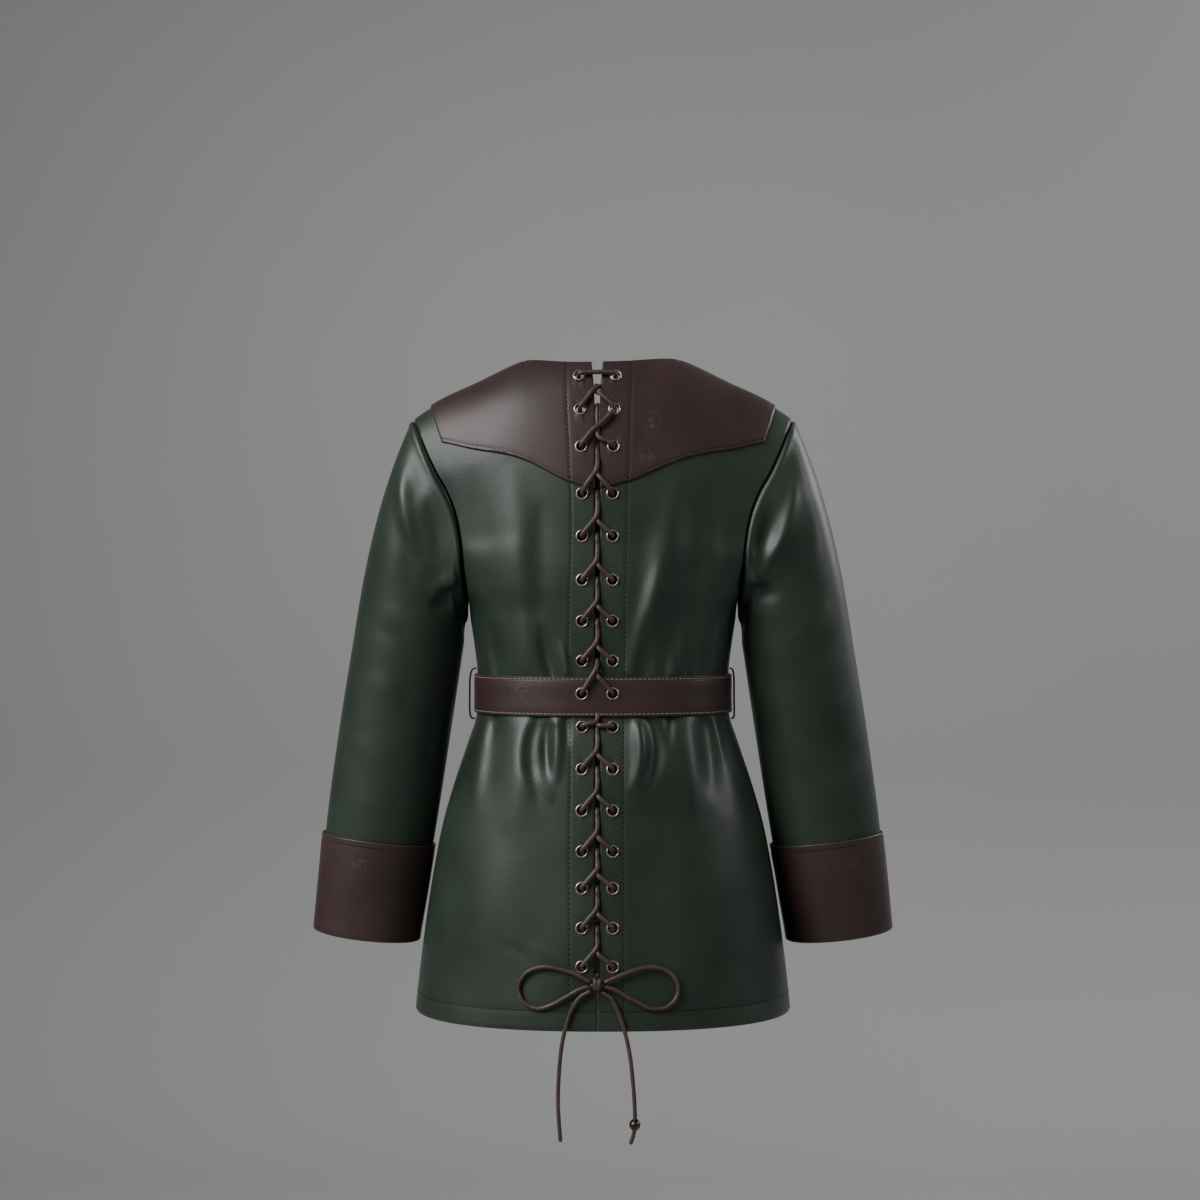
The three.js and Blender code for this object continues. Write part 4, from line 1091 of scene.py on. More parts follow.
def sum_of(tree, *terms):
    """Adds outputs, each times its share."""
    total = None
    for output, share in terms:
        node = tree.nodes.new("ShaderNodeMath")
        node.operation = "MULTIPLY_ADD"
        link(tree, output, node.inputs[0])
        node.inputs[1].default_value = share
        node.inputs[2].default_value = 0.0
        if total is not None:
            link(tree, total, node.inputs[2])
        total = node.outputs[0]
    return total


def product(tree, first, second):
    """One output times another."""
    node = tree.nodes.new("ShaderNodeMath")
    node.operation = "MULTIPLY"
    link(tree, first, node.inputs[0])
    link(tree, second, node.inputs[1])
    return node.outputs[0]


def ranged(tree, value, low, high, to_low, to_high):
    """Spreads low to high over to_low to to_high, and holds what lies outside."""
    node = tree.nodes.new("ShaderNodeMapRange")
    node.clamp = True
    link(tree, value, node.inputs["Value"])
    set_inputs(node, {"From Min": low, "From Max": high, "To Min": to_low, "To Max": to_high})
    return node.outputs["Result"]


def blend_colours(tree, share, first, second):
    """Mixes two colours, each a plain colour or another node's output."""
    node = tree.nodes.new("ShaderNodeMix")
    node.data_type = "RGBA"
    link(tree, share, node.inputs["Factor"])
    for key, value in (("A", first), ("B", second)):
        socket = next(s for s in node.inputs if s.name == key and s.type == "RGBA")
        if isinstance(value, bpy.types.NodeSocket):
            link(tree, value, socket)
        else:
            socket.default_value = (*value[:3], 1.0)
    return next(s for s in node.outputs if s.type == "RGBA")


def scaled_vector(tree, vector, scale):
    """Places stretched by a scale along each axis."""
    node = tree.nodes.new("ShaderNodeMapping")
    link(tree, vector, node.inputs["Vector"])
    node.inputs["Scale"].default_value = scale
    return node.outputs["Vector"]


def new_group(name, inputs, outputs):
    """A node group with named inputs and outputs."""
    group = bpy.data.node_groups.new(name, "ShaderNodeTree")
    for label, kind, value in inputs:
        socket = group.interface.new_socket(label, in_out="INPUT", socket_type=kind)
        if value is not None:
            socket.default_value = value
    for label in outputs:
        group.interface.new_socket(label, in_out="OUTPUT", socket_type="NodeSocketFloat")
    start = group.nodes.new("NodeGroupInput")
    end = group.nodes.new("NodeGroupOutput")
    return group, start, end


def leather_grain_group():
    """Pebbled grain, patches of fine straight wrinkles and slow changes of tone."""
    group, start, end = new_group(
        "Leather grain",
        (
            ("Vector", "NodeSocketVector", None),
            ("Pebble Scale", "NodeSocketFloat", 1000.0),
            ("Wrinkles", "NodeSocketFloat", 0.0),
            ("Strokes", "NodeSocketFloat", 0.0),
        ),
        ("Height", "Tone", "Fine"),
    )
    place = start.outputs["Vector"]
    pebbles = texture(group, "ShaderNodeTexVoronoi", place, Randomness=0.9)
    pebbles.feature = "F1"
    link(group, start.outputs["Pebble Scale"], pebbles.inputs["Scale"])
    fine = texture(group, "ShaderNodeTexNoise", place, Scale=420.0, Detail=4.0, Roughness=0.6)
    slow = texture(group, "ShaderNodeTexNoise", place, Scale=16.0, Detail=3.0, Roughness=0.5)
    drape = texture(group, "ShaderNodeTexNoise", place, Scale=48.0, Detail=1.0, Roughness=0.4)
    split = group.nodes.new("ShaderNodeSeparateXYZ")
    link(group, place, split.inputs[0])
    along = group.nodes.new("ShaderNodeCombineXYZ")
    link(group, start.outputs["Strokes"], along.inputs["X"])
    link(group, split.outputs["X"], along.inputs["Y"])
    link(group, split.outputs["Z"], along.inputs["Z"])
    strokes = texture(
        group, "ShaderNodeTexWave", along.outputs[0], Scale=185.0, Distortion=2.6, Detail=1.5,
        **{"Detail Scale": 0.35, "Detail Roughness": 0.5},
    )
    broken = texture(group, "ShaderNodeTexNoise", place, Scale=190.0, Detail=1.0)
    parts = ranged(group, broken.outputs["Fac"], 0.4, 0.6, 0.0, 1.0)
    sharp = ranged(group, strokes.outputs["Fac"], 0.35, 0.95, 0.0, 1.0)
    creased = product(group, product(group, sharp, parts), start.outputs["Wrinkles"])
    height = sum_of(
        group,
        (pebbles.outputs["Distance"], -0.2),
        (fine.outputs["Fac"], 0.26),
        (drape.outputs["Fac"], 0.16),
        (creased, 0.42),
    )
    link(group, height, end.inputs["Height"])
    link(group, slow.outputs["Fac"], end.inputs["Tone"])
    link(group, fine.outputs["Fac"], end.inputs["Fine"])
    return group


def new_material(name):
    """A material with its node tree and its main shader."""
    material = bpy.data.materials.new(name)
    material.use_nodes = True
    tree = material.node_tree
    shader = next(n for n in tree.nodes if n.type == "BSDF_PRINCIPLED")
    return material, tree, shader


def put_bump(tree, shader, height, distance, strength):
    """Raises the surface by a height, whose full range is a distance in metres."""
    bump = tree.nodes.new("ShaderNodeBump")
    set_inputs(bump, {"Strength": strength, "Distance": distance})
    link(tree, height, bump.inputs["Height"])
    link(tree, bump.outputs["Normal"], shader.inputs["Normal"])


def leather_material(name, group, colour, worn_and_sheen, roughness, pebble_scale):
    """Coated imitation leather, with its grain, its wrinkles and paler edges that are partly wear and
    partly a painted highlight.
    """
    material, tree, shader = new_material(name)
    coordinates = tree.nodes.new("ShaderNodeTexCoord")
    grain = tree.nodes.new("ShaderNodeGroup")
    grain.node_tree = group
    link(tree, coordinates.outputs["Object"], grain.inputs["Vector"])
    grain.inputs["Pebble Scale"].default_value = pebble_scale
    for mark in ("Wrinkles", "Strokes"):
        written = tree.nodes.new("ShaderNodeAttribute")
        written.attribute_name = mark.lower()
        link(tree, written.outputs["Fac"], grain.inputs[mark])
    # The edge mark, mottled by the fine grain, pales the colour by the edges: partly rubbed wear, partly
    # a painted highlight along them.
    edge = tree.nodes.new("ShaderNodeAttribute")
    edge.attribute_name = "edge"
    shade = ranged(tree, grain.outputs["Tone"], 0.3, 0.7, 0.0, 1.0)
    dark = tuple(c * 0.78 for c in colour)
    light = tuple(min(1.0, c * 1.25) for c in colour)
    ground = blend_colours(tree, shade, dark, light)
    rubbed_and_sheen = product(tree, edge.outputs["Fac"], grain.outputs["Fine"])
    wear_and_sheen = ranged(tree, rubbed_and_sheen, 0.25, 0.75, 0.0, 0.85)
    final = blend_colours(tree, wear_and_sheen, ground, worn_and_sheen)
    link(tree, final, shader.inputs["Base Color"])
    gloss = ranged(tree, grain.outputs["Tone"], 0.25, 0.75, roughness - 0.05, roughness + 0.06)
    link(tree, gloss, shader.inputs["Roughness"])
    set_inputs(shader, {"Specular IOR Level": 0.55, "Coat Weight": 0.14, "Coat Roughness": 0.26})
    put_bump(tree, shader, grain.outputs["Height"], distance=0.0005, strength=0.55)
    return material


def lining_material(name, colour):
    """The knitted backing on the wrong side of the imitation leather."""
    material, tree, shader = new_material(name)
    coordinates = tree.nodes.new("ShaderNodeTexCoord")
    place = coordinates.outputs["Object"]
    ribs = texture(tree, "ShaderNodeTexWave", place, Scale=300.0, Distortion=1.2, Detail=1.0)
    ribs.bands_direction = "X"
    courses = texture(tree, "ShaderNodeTexWave", place, Scale=360.0, Distortion=1.2, Detail=1.0)
    courses.bands_direction = "Z"
    fuzz = texture(tree, "ShaderNodeTexNoise", place, Scale=900.0, Detail=2.0)
    knit = sum_of(
        tree, (ribs.outputs["Fac"], 0.4), (courses.outputs["Fac"], 0.4), (fuzz.outputs["Fac"], 0.5)
    )
    shade = ranged(tree, knit, 0.3, 1.0, 0.0, 1.0)
    dark = tuple(c * 0.6 for c in colour)
    link(tree, blend_colours(tree, shade, dark, colour), shader.inputs["Base Color"])
    set_inputs(shader, {"Roughness": 0.9, "Specular IOR Level": 0.2})
    put_bump(tree, shader, knit, distance=0.0003, strength=0.6)
    return material


def lace_material(name, colour):
    """Smooth round lace, with a fine lengthwise grain on its own texture places."""
    material, tree, shader = new_material(name)
    places = tree.nodes.new("ShaderNodeUVMap")
    places.uv_map = "Cord"
    stretched = scaled_vector(tree, places.outputs["UV"], (9.0, 260.0, 1.0))
    streaks = texture(tree, "ShaderNodeTexNoise", stretched, Scale=1.0, Detail=4.0, Roughness=0.6)
    patches = scaled_vector(tree, places.outputs["UV"], (1.5, 60.0, 1.0))
    tone = texture(tree, "ShaderNodeTexNoise", patches, Scale=1.0, Detail=2.0)
    shade = ranged(tree, tone.outputs["Fac"], 0.3, 0.7, 0.0, 1.0)
    dark = tuple(c * 0.7 for c in colour)
    light = tuple(min(1.0, c * 1.35) for c in colour)
    link(tree, blend_colours(tree, shade, dark, light), shader.inputs["Base Color"])
    gloss = ranged(tree, streaks.outputs["Fac"], 0.3, 0.7, 0.34, 0.5)
    link(tree, gloss, shader.inputs["Roughness"])
    set_inputs(shader, {"Specular IOR Level": 0.5})
    put_bump(tree, shader, streaks.outputs["Fac"], distance=0.0003, strength=0.5)
    return material


def thread_material(name, colour):
    """Twisted sewing thread."""
    material, tree, shader = new_material(name)
    coordinates = tree.nodes.new("ShaderNodeTexCoord")
    twist = texture(
        tree, "ShaderNodeTexNoise", coordinates.outputs["Object"], Scale=2600.0, Detail=1.0
    )
    shade = ranged(tree, twist.outputs["Fac"], 0.3, 0.7, 0.0, 1.0)
    dark = tuple(c * 0.6 for c in colour)
    link(tree, blend_colours(tree, shade, dark, colour), shader.inputs["Base Color"])
    set_inputs(shader, {"Roughness": 0.62, "Specular IOR Level": 0.4})
    put_bump(tree, shader, twist.outputs["Fac"], distance=0.0001, strength=0.6)
    return material


def metal_material(name, colour, roughness, tarnish, metal):
    """Rolled or turned metal with small scratches and a little tarnish."""
    material, tree, shader = new_material(name)
    coordinates = tree.nodes.new("ShaderNodeTexCoord")
    place = coordinates.outputs["Object"]
    marks = texture(tree, "ShaderNodeTexNoise", place, Scale=1500.0, Detail=3.0, Roughness=0.7)
    patches = texture(tree, "ShaderNodeTexNoise", place, Scale=330.0, Detail=2.0)
    shade = ranged(tree, patches.outputs["Fac"], 0.4, 0.75, 0.0, 1.0)
    link(tree, blend_colours(tree, shade, colour, tarnish), shader.inputs["Base Color"])
    gloss = ranged(tree, marks.outputs["Fac"], 0.3, 0.7, roughness - 0.06, roughness + 0.12)
    link(tree, gloss, shader.inputs["Roughness"])
    set_inputs(shader, {"Metallic": metal})
    put_bump(tree, shader, marks.outputs["Fac"], distance=0.00005, strength=0.4)
    return material


def plain_material(name, colour, roughness):
    """A painted studio surface with a faint mottle."""
    material, tree, shader = new_material(name)
    coordinates = tree.nodes.new("ShaderNodeTexCoord")
    mottle = texture(tree, "ShaderNodeTexNoise", coordinates.outputs["Object"], Scale=3.0, Detail=3.0)
    dark = tuple(c * 0.96 for c in colour)
    link(tree, blend_colours(tree, mottle.outputs["Fac"], dark, colour), shader.inputs["Base Color"])
    set_inputs(shader, {"Roughness": roughness, "Specular IOR Level": 0.2})
    return material


MATERIALS = {}


def make_materials(colours):
    """All finishes of the tunic, made once."""
    if MATERIALS:
        return MATERIALS
    grain = leather_grain_group()
    green, brown = tuple(colours.green), tuple(colours.brown)
    MATERIALS.update({
        "green": leather_material(
            "Green leather", grain, green,
            # Paler green for the edges: wear, and a painted highlight along them.
            worn_and_sheen=tuple(c * 1.7 for c in green), roughness=0.45, pebble_scale=1050.0,
        ),
        "brown": leather_material(
            "Brown leather", grain, brown,
            # Paler brown for the edges: wear, and a painted highlight along them.
            worn_and_sheen=tuple(c * 2.4 for c in brown), roughness=0.46, pebble_scale=900.0,
        ),
        "lining": lining_material("Knitted backing", tuple(colours.lining)),
        "lace": lace_material("Lace", tuple(colours.lace)),
        "thread": thread_material("Sewing thread", tuple(colours.thread)),
        # The belt's thread is lighter than the other thread: a painted highlight on its stitches.
        "belt_thread_and_sheen": thread_material("Belt thread, painted sheen", tuple(colours.belt_thread_and_sheen)),
        "eyelet": metal_material(
            "Eyelet metal", tuple(colours.eyelet),
            roughness=0.24, tarnish=(0.36, 0.24, 0.19), metal=0.85,
        ),
        "bead": metal_material(
            "Bead metal", tuple(colours.bead), roughness=0.28, tarnish=(0.05, 0.04, 0.035), metal=1.0
        ),
    })
    return MATERIALS


# ---- Sizes and colours that a user would change ----
class TunicSizes(bpy.types.PropertyGroup):
    """Sizes that a user may change."""

    cloth: FloatProperty(
        name="Cloth thickness", description="Wall of the body and the sleeves",
        default=CLOTH * MM, min=0.001, max=0.003, unit="LENGTH",
    )
    lace: FloatProperty(
        name="Lace diameter", description="Diameter of the round lace",
        default=2 * LACE_RADIUS * MM, min=0.002, max=0.004, unit="LENGTH",
    )
    stitch: FloatProperty(
        name="Stitch length", description="Length of one visible stitch",
        default=0.0028, min=0.001, max=0.006, unit="LENGTH",
    )
    eyelet_rim: FloatProperty(
        name="Eyelet rim", description="Radius of an eyelet's flange",
        default=EYELET_RIM * MM, min=0.004, max=0.007, unit="LENGTH",
    )
    floor_drop: FloatProperty(
        name="Floor", description="How far the floor lies below the shoulders",
        default=1.02, min=0.7, max=2.0, unit="LENGTH",
    )


def colour_property(name, description, default):
    return FloatVectorProperty(
        name=name, description=description, default=default, min=0.0, max=1.0, size=3,
        subtype="COLOR",
    )


class TunicColours(bpy.types.PropertyGroup):
    """Colours that a user may change."""

    green: colour_property("Green", "Imitation leather of the body", (0.027, 0.044, 0.029))
    brown: colour_property("Brown", "Yoke, cuffs and belt", (0.051, 0.0275, 0.0245))
    lining: colour_property("Backing", "Wrong side of the cloth", (0.09, 0.085, 0.075))
    lace: colour_property("Lace", "Round lace", (0.093, 0.056, 0.045))
    thread: colour_property("Thread", "Dark sewing thread", (0.008, 0.007, 0.007))
    # Lighter than the other thread, as a painted highlight on the belt's stitches.
    belt_thread_and_sheen: colour_property("Belt thread, painted sheen", "Paler thread of the belt", (0.5, 0.41, 0.35))
    eyelet: colour_property("Eyelets", "Pale copper of the eyelets", (0.86, 0.7, 0.61))
    bead: colour_property("Bead", "Dark metal of the bead", (0.16, 0.12, 0.1))
    floor: colour_property("Floor", "Studio floor and wall", (0.4, 0.4, 0.4))


def sizes():
    """The sizes as the user has set them."""
    return bpy.context.scene.tunic_sizes


def materials(*names):
    """The finishes of a piece, by name."""
    made = make_materials(bpy.context.scene.tunic_colours)
    return [made[name] for name in names]


# ---- Cloth pieces ----
def eyelet_x(z, hand):
    """Where an eyelet's middle lies across the back."""
    return OPENING_X + hand * mix(EYELET_HALF, EYELET_NECK_HALF, widened(z, EYELETS_SPREAD))


def facing_x(z, hand):
    """Where the facing's stitches run, by height."""
    return read_table(FACING, z, 1 if hand > 0 else 2)


def facing_relief(grid, hand):
    """The cloth dips along the facing's stitches."""
    line = facing_x(grid.points[..., 2], hand)
    return groove(line - grid.points[..., 0], 0, 1.1, 0.3)


def back_panel(hand, name):
    """One half of the back, with its hem, its facing's stitched dip and the holes for the eyelets."""
    grid = BACK[hand]
    slit, foot = grid.from_edge("start"), grid.from_edge("foot")
    side, top = grid.from_edge("end"), grid.from_edge("top")
    outer = rolled(np.minimum(slit, foot), 1.1) + rolled(side, 1.7) + rolled(top, 0.9)
    outer += facing_relief(grid, hand) + groove(foot, HEM_STITCH, 1.6, 0.35)
    inner = np.full_like(outer, -sizes().cloth / MM)
    holes = [(eyelet_x(z, hand), z, CLOTH_HOLE) for z, *_ in LACING]
    x, z = grid.points[..., 0], grid.points[..., 2]
    marks = {
        **wrinkle_marks(BACK_WRINKLES, x, z),
        # Paler by the slit and the hem: partly wear, partly a painted highlight along these edges.
        "edge": np.exp(-np.minimum(slit, foot) / 1.2),
    }
    mesh = cloth_shell(grid, outer, inner, holes, marks)
    piece = add_object(f"back_{name}", mesh, "green_leather", *materials("green", "lining"))
    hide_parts(f"back_panel_{name}")


def front_panel():
    """The front in one piece, with a plain round neck."""
    grid = FRONT
    foot, top = grid.from_edge("foot"), grid.from_edge("top")
    sides = np.minimum(grid.from_edge("start"), grid.from_edge("end"))
    outer = rolled(foot, 1.1) + rolled(sides, 1.7) + rolled(top, 1.0)
    outer += groove(foot, HEM_STITCH, 1.6, 0.35)
    neck = np.abs(grid.points[..., 0]) < NECK_HALF
    outer += np.where(neck, groove(top, NECK_STITCH, 1.3, 0.3), 0)
    x, z = grid.points[..., 0], grid.points[..., 2]
    marks = {
        **wrinkle_marks(FRONT_WRINKLES, x, z),
        # Paler by the hem and the neck: partly wear, partly a painted highlight along these edges.
        "edge": np.exp(-np.minimum(foot, top) / 1.2),
    }
    mesh = cloth_shell(grid, outer, np.full_like(outer, -sizes().cloth / MM), (), marks)
    piece = add_object("front", mesh, "green_leather", *materials("green", "lining"))
    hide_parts("front_panel")


def yoke_grid(hand):
    return BACK[hand].cut(slice(YOKE_ROW, None), slice(0, YOKE_END_COLUMN + 1))


def yoke(hand, name):
    """One half of the yoke, laid on the back from its pointed lower edge to the shoulder line."""
    grid = yoke_grid(hand)
    slit, foot = grid.from_edge("start"), grid.from_edge("foot")
    end, top = grid.from_edge("end"), grid.from_edge("top")
    edge = np.minimum(np.minimum(slit, foot), np.minimum(end, top))
    outer = YOKE_DECK + rolled(edge, 1.0) + facing_relief(grid, hand)
    outer += groove(foot, YOKE_STITCH, 0.9, 0.32) + groove(end, YOKE_STITCH, 0.9, 0.25)
    inner = np.full_like(outer, YOKE_LIFT)
    holes = [(eyelet_x(z, hand), z, CLOTH_HOLE) for z, *_, deck, _ in LACING if deck == YOKE_DECK]
    x, z = grid.points[..., 0], grid.points[..., 2]
    # Paler along all the yoke's edges: partly wear, partly a painted highlight along them.
    marks = {**wrinkle_marks(BACK_WRINKLES, x, z), "edge": np.exp(-edge)}
    mesh = cloth_shell(grid, outer, inner, holes, marks)
    piece = add_object(f"yoke_cloth_{name}", mesh, "brown_leather", *materials("brown", "brown"))
    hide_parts(f"yoke_{name}")


def sleeve(hand, name):
    """A sleeve, whose cloth turns in at the armhole's seam and rises a little beside it."""
    grid = SLEEVE[hand]
    armhole = grid.from_edge("foot")
    outer = rolled(armhole, 2.2) - groove(armhole, 4.6, 2.0, 0.7)
    inner = np.full_like(outer, -sizes().cloth / MM)
    marks = {
        **wrinkle_marks(SLEEVE_WRINKLES, grid.points[..., 0] * hand, grid.points[..., 2]),
        "edge": np.zeros_like(outer),
    }
    mesh = cloth_shell(grid, outer, inner, (), marks)
    piece = add_object(f"sleeve_cloth_{name}", mesh, "green_leather", *materials("green", "lining"))
    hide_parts(f"sleeve_{name}")


def cuff_section():
    """Height and offset from the arm round the cuff's folded section, closed."""
    out, back = CUFF_LIFT, -CLOTH - CUFF_LIFT
    wall, tight = CUFF_WALL, SLEEVE_END - 2 * LAY_GAP
    section = []
    for turn in np.linspace(0, np.pi, 7):
        section.append((
            CUFF_TOP + math.sin(turn) * 0.8 - 0.8, out + wall / 2 - math.cos(turn) * wall / 2
        ))
    for t in np.linspace(0.02, 0.97, 26):
        z = mix(CUFF_TOP, CUFF_BOTTOM, t)
        dip = 0.3 * math.exp(-((CUFF_TOP - z - CUFF_STITCH) ** 2))
        section.append((z, out + wall + 0.5 * math.sin(math.pi * t) - dip))
    middle, reach = (out + back) / 2, (out - back) / 2 + wall
    for turn in np.linspace(0.25, np.pi - 0.25, 9):
        section.append((CUFF_BOTTOM + 2 - 2 * math.sin(turn), middle + reach * math.cos(turn)))
    for z in np.linspace(CUFF_BOTTOM + 3, CUFF_BOTTOM + CUFF_TURN, 6):
        section.append((z, back - wall))
    section.append((CUFF_BOTTOM + CUFF_TURN, back))
    section.append((tight, back))
    section.append((tight, out))
    for z in np.linspace(tight, CUFF_TOP - 1.5, 10)[1:]:
        section.append((z, out))
    return np.array(section)


def cuff(hand, name):
    """A cuff that is folded double over the sleeve's end, from its section and the arm's rings."""
    section = cuff_section()
    rows = []
    for z, off in section:
        flare = 0.35 * (1 + np.sin(3 * RING + hand)) * ease(CUFF_TOP - 30, CUFF_TOP, z)
        rows.append(arm_point(hand, RING, np.full_like(RING, z), off + flare))
    points = np.array(rows)
    count, cols = points.shape[:2]
    faces, shares = [], []
    for j in range(count):
        n = (j + 1) % count
        for i in range(cols):
            m = (i + 1) % cols
            faces.append((j * cols + i, j * cols + m, n * cols + m, n * cols + i))
            shares += [
                (i / cols, j / count), ((i + 1) / cols, j / count),
                ((i + 1) / cols, (j + 1) / count), (i / cols, (j + 1) / count),
            ]
    mesh = mesh_from(points.reshape(-1, 3), faces)
    outwards(mesh)
    write_places(mesh, "Cloth", shares)
    x, z = points[..., 0] * hand, points[..., 2]
    for mark, values in wrinkle_marks(CUFF_WRINKLES, x, z).items():
        write_attribute(mesh, mark, values.ravel())
    # Paler along the cuff's top edge on its outside alone: partly wear, partly a painted highlight on
    # that edge.
    edge = np.exp(-np.abs(section[:, 0] - CUFF_TOP + 0.5)) * (section[:, 1] > 1.2)
    write_attribute(mesh, "edge", np.repeat(edge, cols))
    piece = add_object(f"cuff_cloth_{name}", mesh, "brown_leather", *materials("brown"))
    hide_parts(f"cuff_{name}")


def belt_ring():
    """The belt's line round both panels, through the laced opening."""
    rows = slice(BELT_ROW, WAIST_ROW + 1)
    smooth = {
        hand: panel_grid(hand * HALF_COLUMNS, 1, (), (), slit_edge(hand)) for hand, _ in HANDS
    }
    back_left, back_right = smooth[1].points[rows], smooth[-1].points[rows, ::-1]
    front = panel_grid(FRONT_COLUMNS, -1, (), ()).points[rows, ::-1]
    over_slit = [mix(back_right[:, -1:], back_left[:, :1], t) for t in (0.25, 0.5, 0.75)]
    return Grid(
        np.concatenate([back_left, front, back_right, *over_slit], axis=1),
        np.array([0, 0, BELT_TOP]), closed=True,
    )


BELT = belt_ring()


def belt():
    """The belt, a little padded between its two lines of stitches."""
    foot, top = BELT.from_edge("foot"), BELT.from_edge("top")
    edge = np.minimum(foot, top)
    outer = BELT_DECK + rolled(edge, 1.2) + groove(edge, BELT_STITCH, 0.8, 0.4)
    outer += 0.3 * ease(3, 8, edge)
    inner = np.full_like(outer, BELT_LIFT)
    holes = [
        (eyelet_x(z, hand), z, CLOTH_HOLE)
        for z, *_, deck, _ in LACING if deck == BELT_DECK for hand, _ in HANDS
    ]
    x, y, z = (BELT.points[..., i] for i in range(3))
    marks = wrinkle_marks(BACK_WRINKLES, x, z)
    marks["wrinkles"] = np.where(y > 0, marks["wrinkles"], 0)
    # Paler by the belt's top and bottom edges: partly wear, partly a painted highlight along them.
    marks["edge"] = np.exp(-edge / 1.2)
    mesh = cloth_shell(BELT, outer, inner, holes, marks)
    piece = add_object("belt_band", mesh, "brown_leather", *materials("brown", "brown"))
    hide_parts("belt")


def belt_loop(hand, name):
    """A narrow strip at the side seam that bows out over the belt."""
    rows = []
    across = 9
    middle, half = (LOOP_TOP + LOOP_BOTTOM) / 2, (LOOP_TOP - LOOP_BOTTOM) / 2
    for turn in np.linspace(-np.pi / 2, np.pi / 2, 41):
        z = middle + half * math.copysign(abs(math.sin(turn)) ** 0.8, turn)
        out = mix(LOOP_LIFT, BELT_DECK + LOOP_BOW[hand], math.cos(turn) ** 0.6)
        centre = skirt_point(np.ones(across), np.full(across, z), 1)
        centre[:, 0] = hand * (centre[:, 0] + out)
        centre[:, 1] = np.linspace(-LOOP_WIDE / 2, LOOP_WIDE / 2, across)
        rows.append(centre)
    grid = Grid(np.array(rows), BODY_MIDDLE)
    edge = np.minimum(grid.from_edge("start"), grid.from_edge("end"))
    outer = LOOP_WALL + rolled(edge, 0.6) + groove(edge, 1.7, 0.5, 0.15)
    # Paler by the loop's sides: partly wear, partly a painted highlight along them.
    marks = {"edge": np.exp(-edge / 0.7)}
    mesh = cloth_shell(grid, outer, np.zeros_like(outer), (), marks)
    piece = add_object(f"belt_strap_{name}", mesh, "brown_leather", *materials("brown", "brown"))
    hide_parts(f"belt_loop_{name}")


# ---- Stitches ----
def stitches(name, thread, parts):
    add_object(name, joined_mesh(parts), "lace_cord", *materials(thread))


def facing_stitches(hand, name):
    """The facing's line down one back panel, broken at the yoke's edge and under the belt."""
    parts = []
    length = sizes().stitch / MM
    # About where the facing's lines cross the yoke's lower edge.
    column, facing = 0.15, 20
    yoke_foot = mix(ARMPIT_Z, ridge_height(facing), float(read_table(YOKE_EDGE, column, 1)))
    for top, bottom, deck in (
        (-3.5, yoke_foot + 1, YOKE_DECK),
        (yoke_foot - 2, BELT_TOP + 1, 0.0),
        (BELT_BOTTOM - 1, HEM_Z + HEM_STITCH, 0.0),
    ):
        z = np.arange(top, bottom, -1.0)
        x = facing_x(z, hand)
        path = on_back(x, z, np.full_like(z, deck - 0.25))
        parts += stitch_parts(path, back_normal(x, z), length, gap=1.0, width=0.85)
    stitches(f"facing_stitches_{name}", "thread", parts)


def hem_stitches():
    """One line all round the hem."""
    parts = []
    length = sizes().stitch / MM
    for grid in (BACK[1], BACK[-1], FRONT):
        path, normals = grid.line_at("foot", HEM_STITCH)
        parts += stitch_parts(path - normals * 0.2, normals, length, gap=0.9, width=0.5)
    stitches("hem_stitches", "thread", parts)


def edge_stitches():
    """Yoke, cuffs and neckline."""
    parts = []
    length = sizes().stitch / MM
    for hand, _ in HANDS:
        path, normals = yoke_grid(hand).line_at("foot", YOKE_STITCH)
        path = path + normals * (YOKE_DECK - 0.2)
        parts += stitch_parts(path, normals, length, gap=0.9, width=0.45)
        ring = np.append(RING, RING[0])
        height = np.full_like(ring, CUFF_TOP - CUFF_STITCH)
        path = arm_point(hand, ring, height, CUFF_LIFT + CUFF_WALL + 0.1)
        around = arm_point(hand, ring, height, CUFF_LIFT + CUFF_WALL + 1.1)
        normals = around - path
        normals[:, 2] = 0
        normals /= np.linalg.norm(normals, axis=1, keepdims=True)
        parts += stitch_parts(path, normals, length, gap=0.9, width=0.45)
    path, normals = FRONT.line_at("top", NECK_STITCH)
    neck = np.abs(path[:, 0]) < NECK_HALF - 4
    path, normals = path[neck], normals[neck]
    parts += stitch_parts(path - normals * 0.2, normals, length, gap=0.9, width=0.5)
    stitches("edge_stitches", "thread", parts)


def belt_stitches():
    """A pale line along both edges of the belt, its thread lightened as a painted highlight on the
    stitches.
    """
    parts = []
    length = sizes().stitch / MM
    for edge in ("foot", "top"):
        path, normals = BELT.line_at(edge, BELT_STITCH)
        path = path + normals * (BELT_DECK - 0.3)
        path, normals = np.vstack([path, path[:1]]), np.vstack([normals, normals[:1]])
        parts += stitch_parts(path, normals, length, gap=0.8, width=0.6)
    stitches("belt_stitches", "belt_thread_and_sheen", parts)


# ---- Eyelets and bead ----
def deselect():
    """Leaves edit mode and deselects everything, so that an operator acts on new pieces alone."""
    if bpy.context.object and bpy.context.object.mode != "OBJECT":
        bpy.ops.object.mode_set(mode="OBJECT")
    bpy.ops.object.select_all(action="DESELECT")


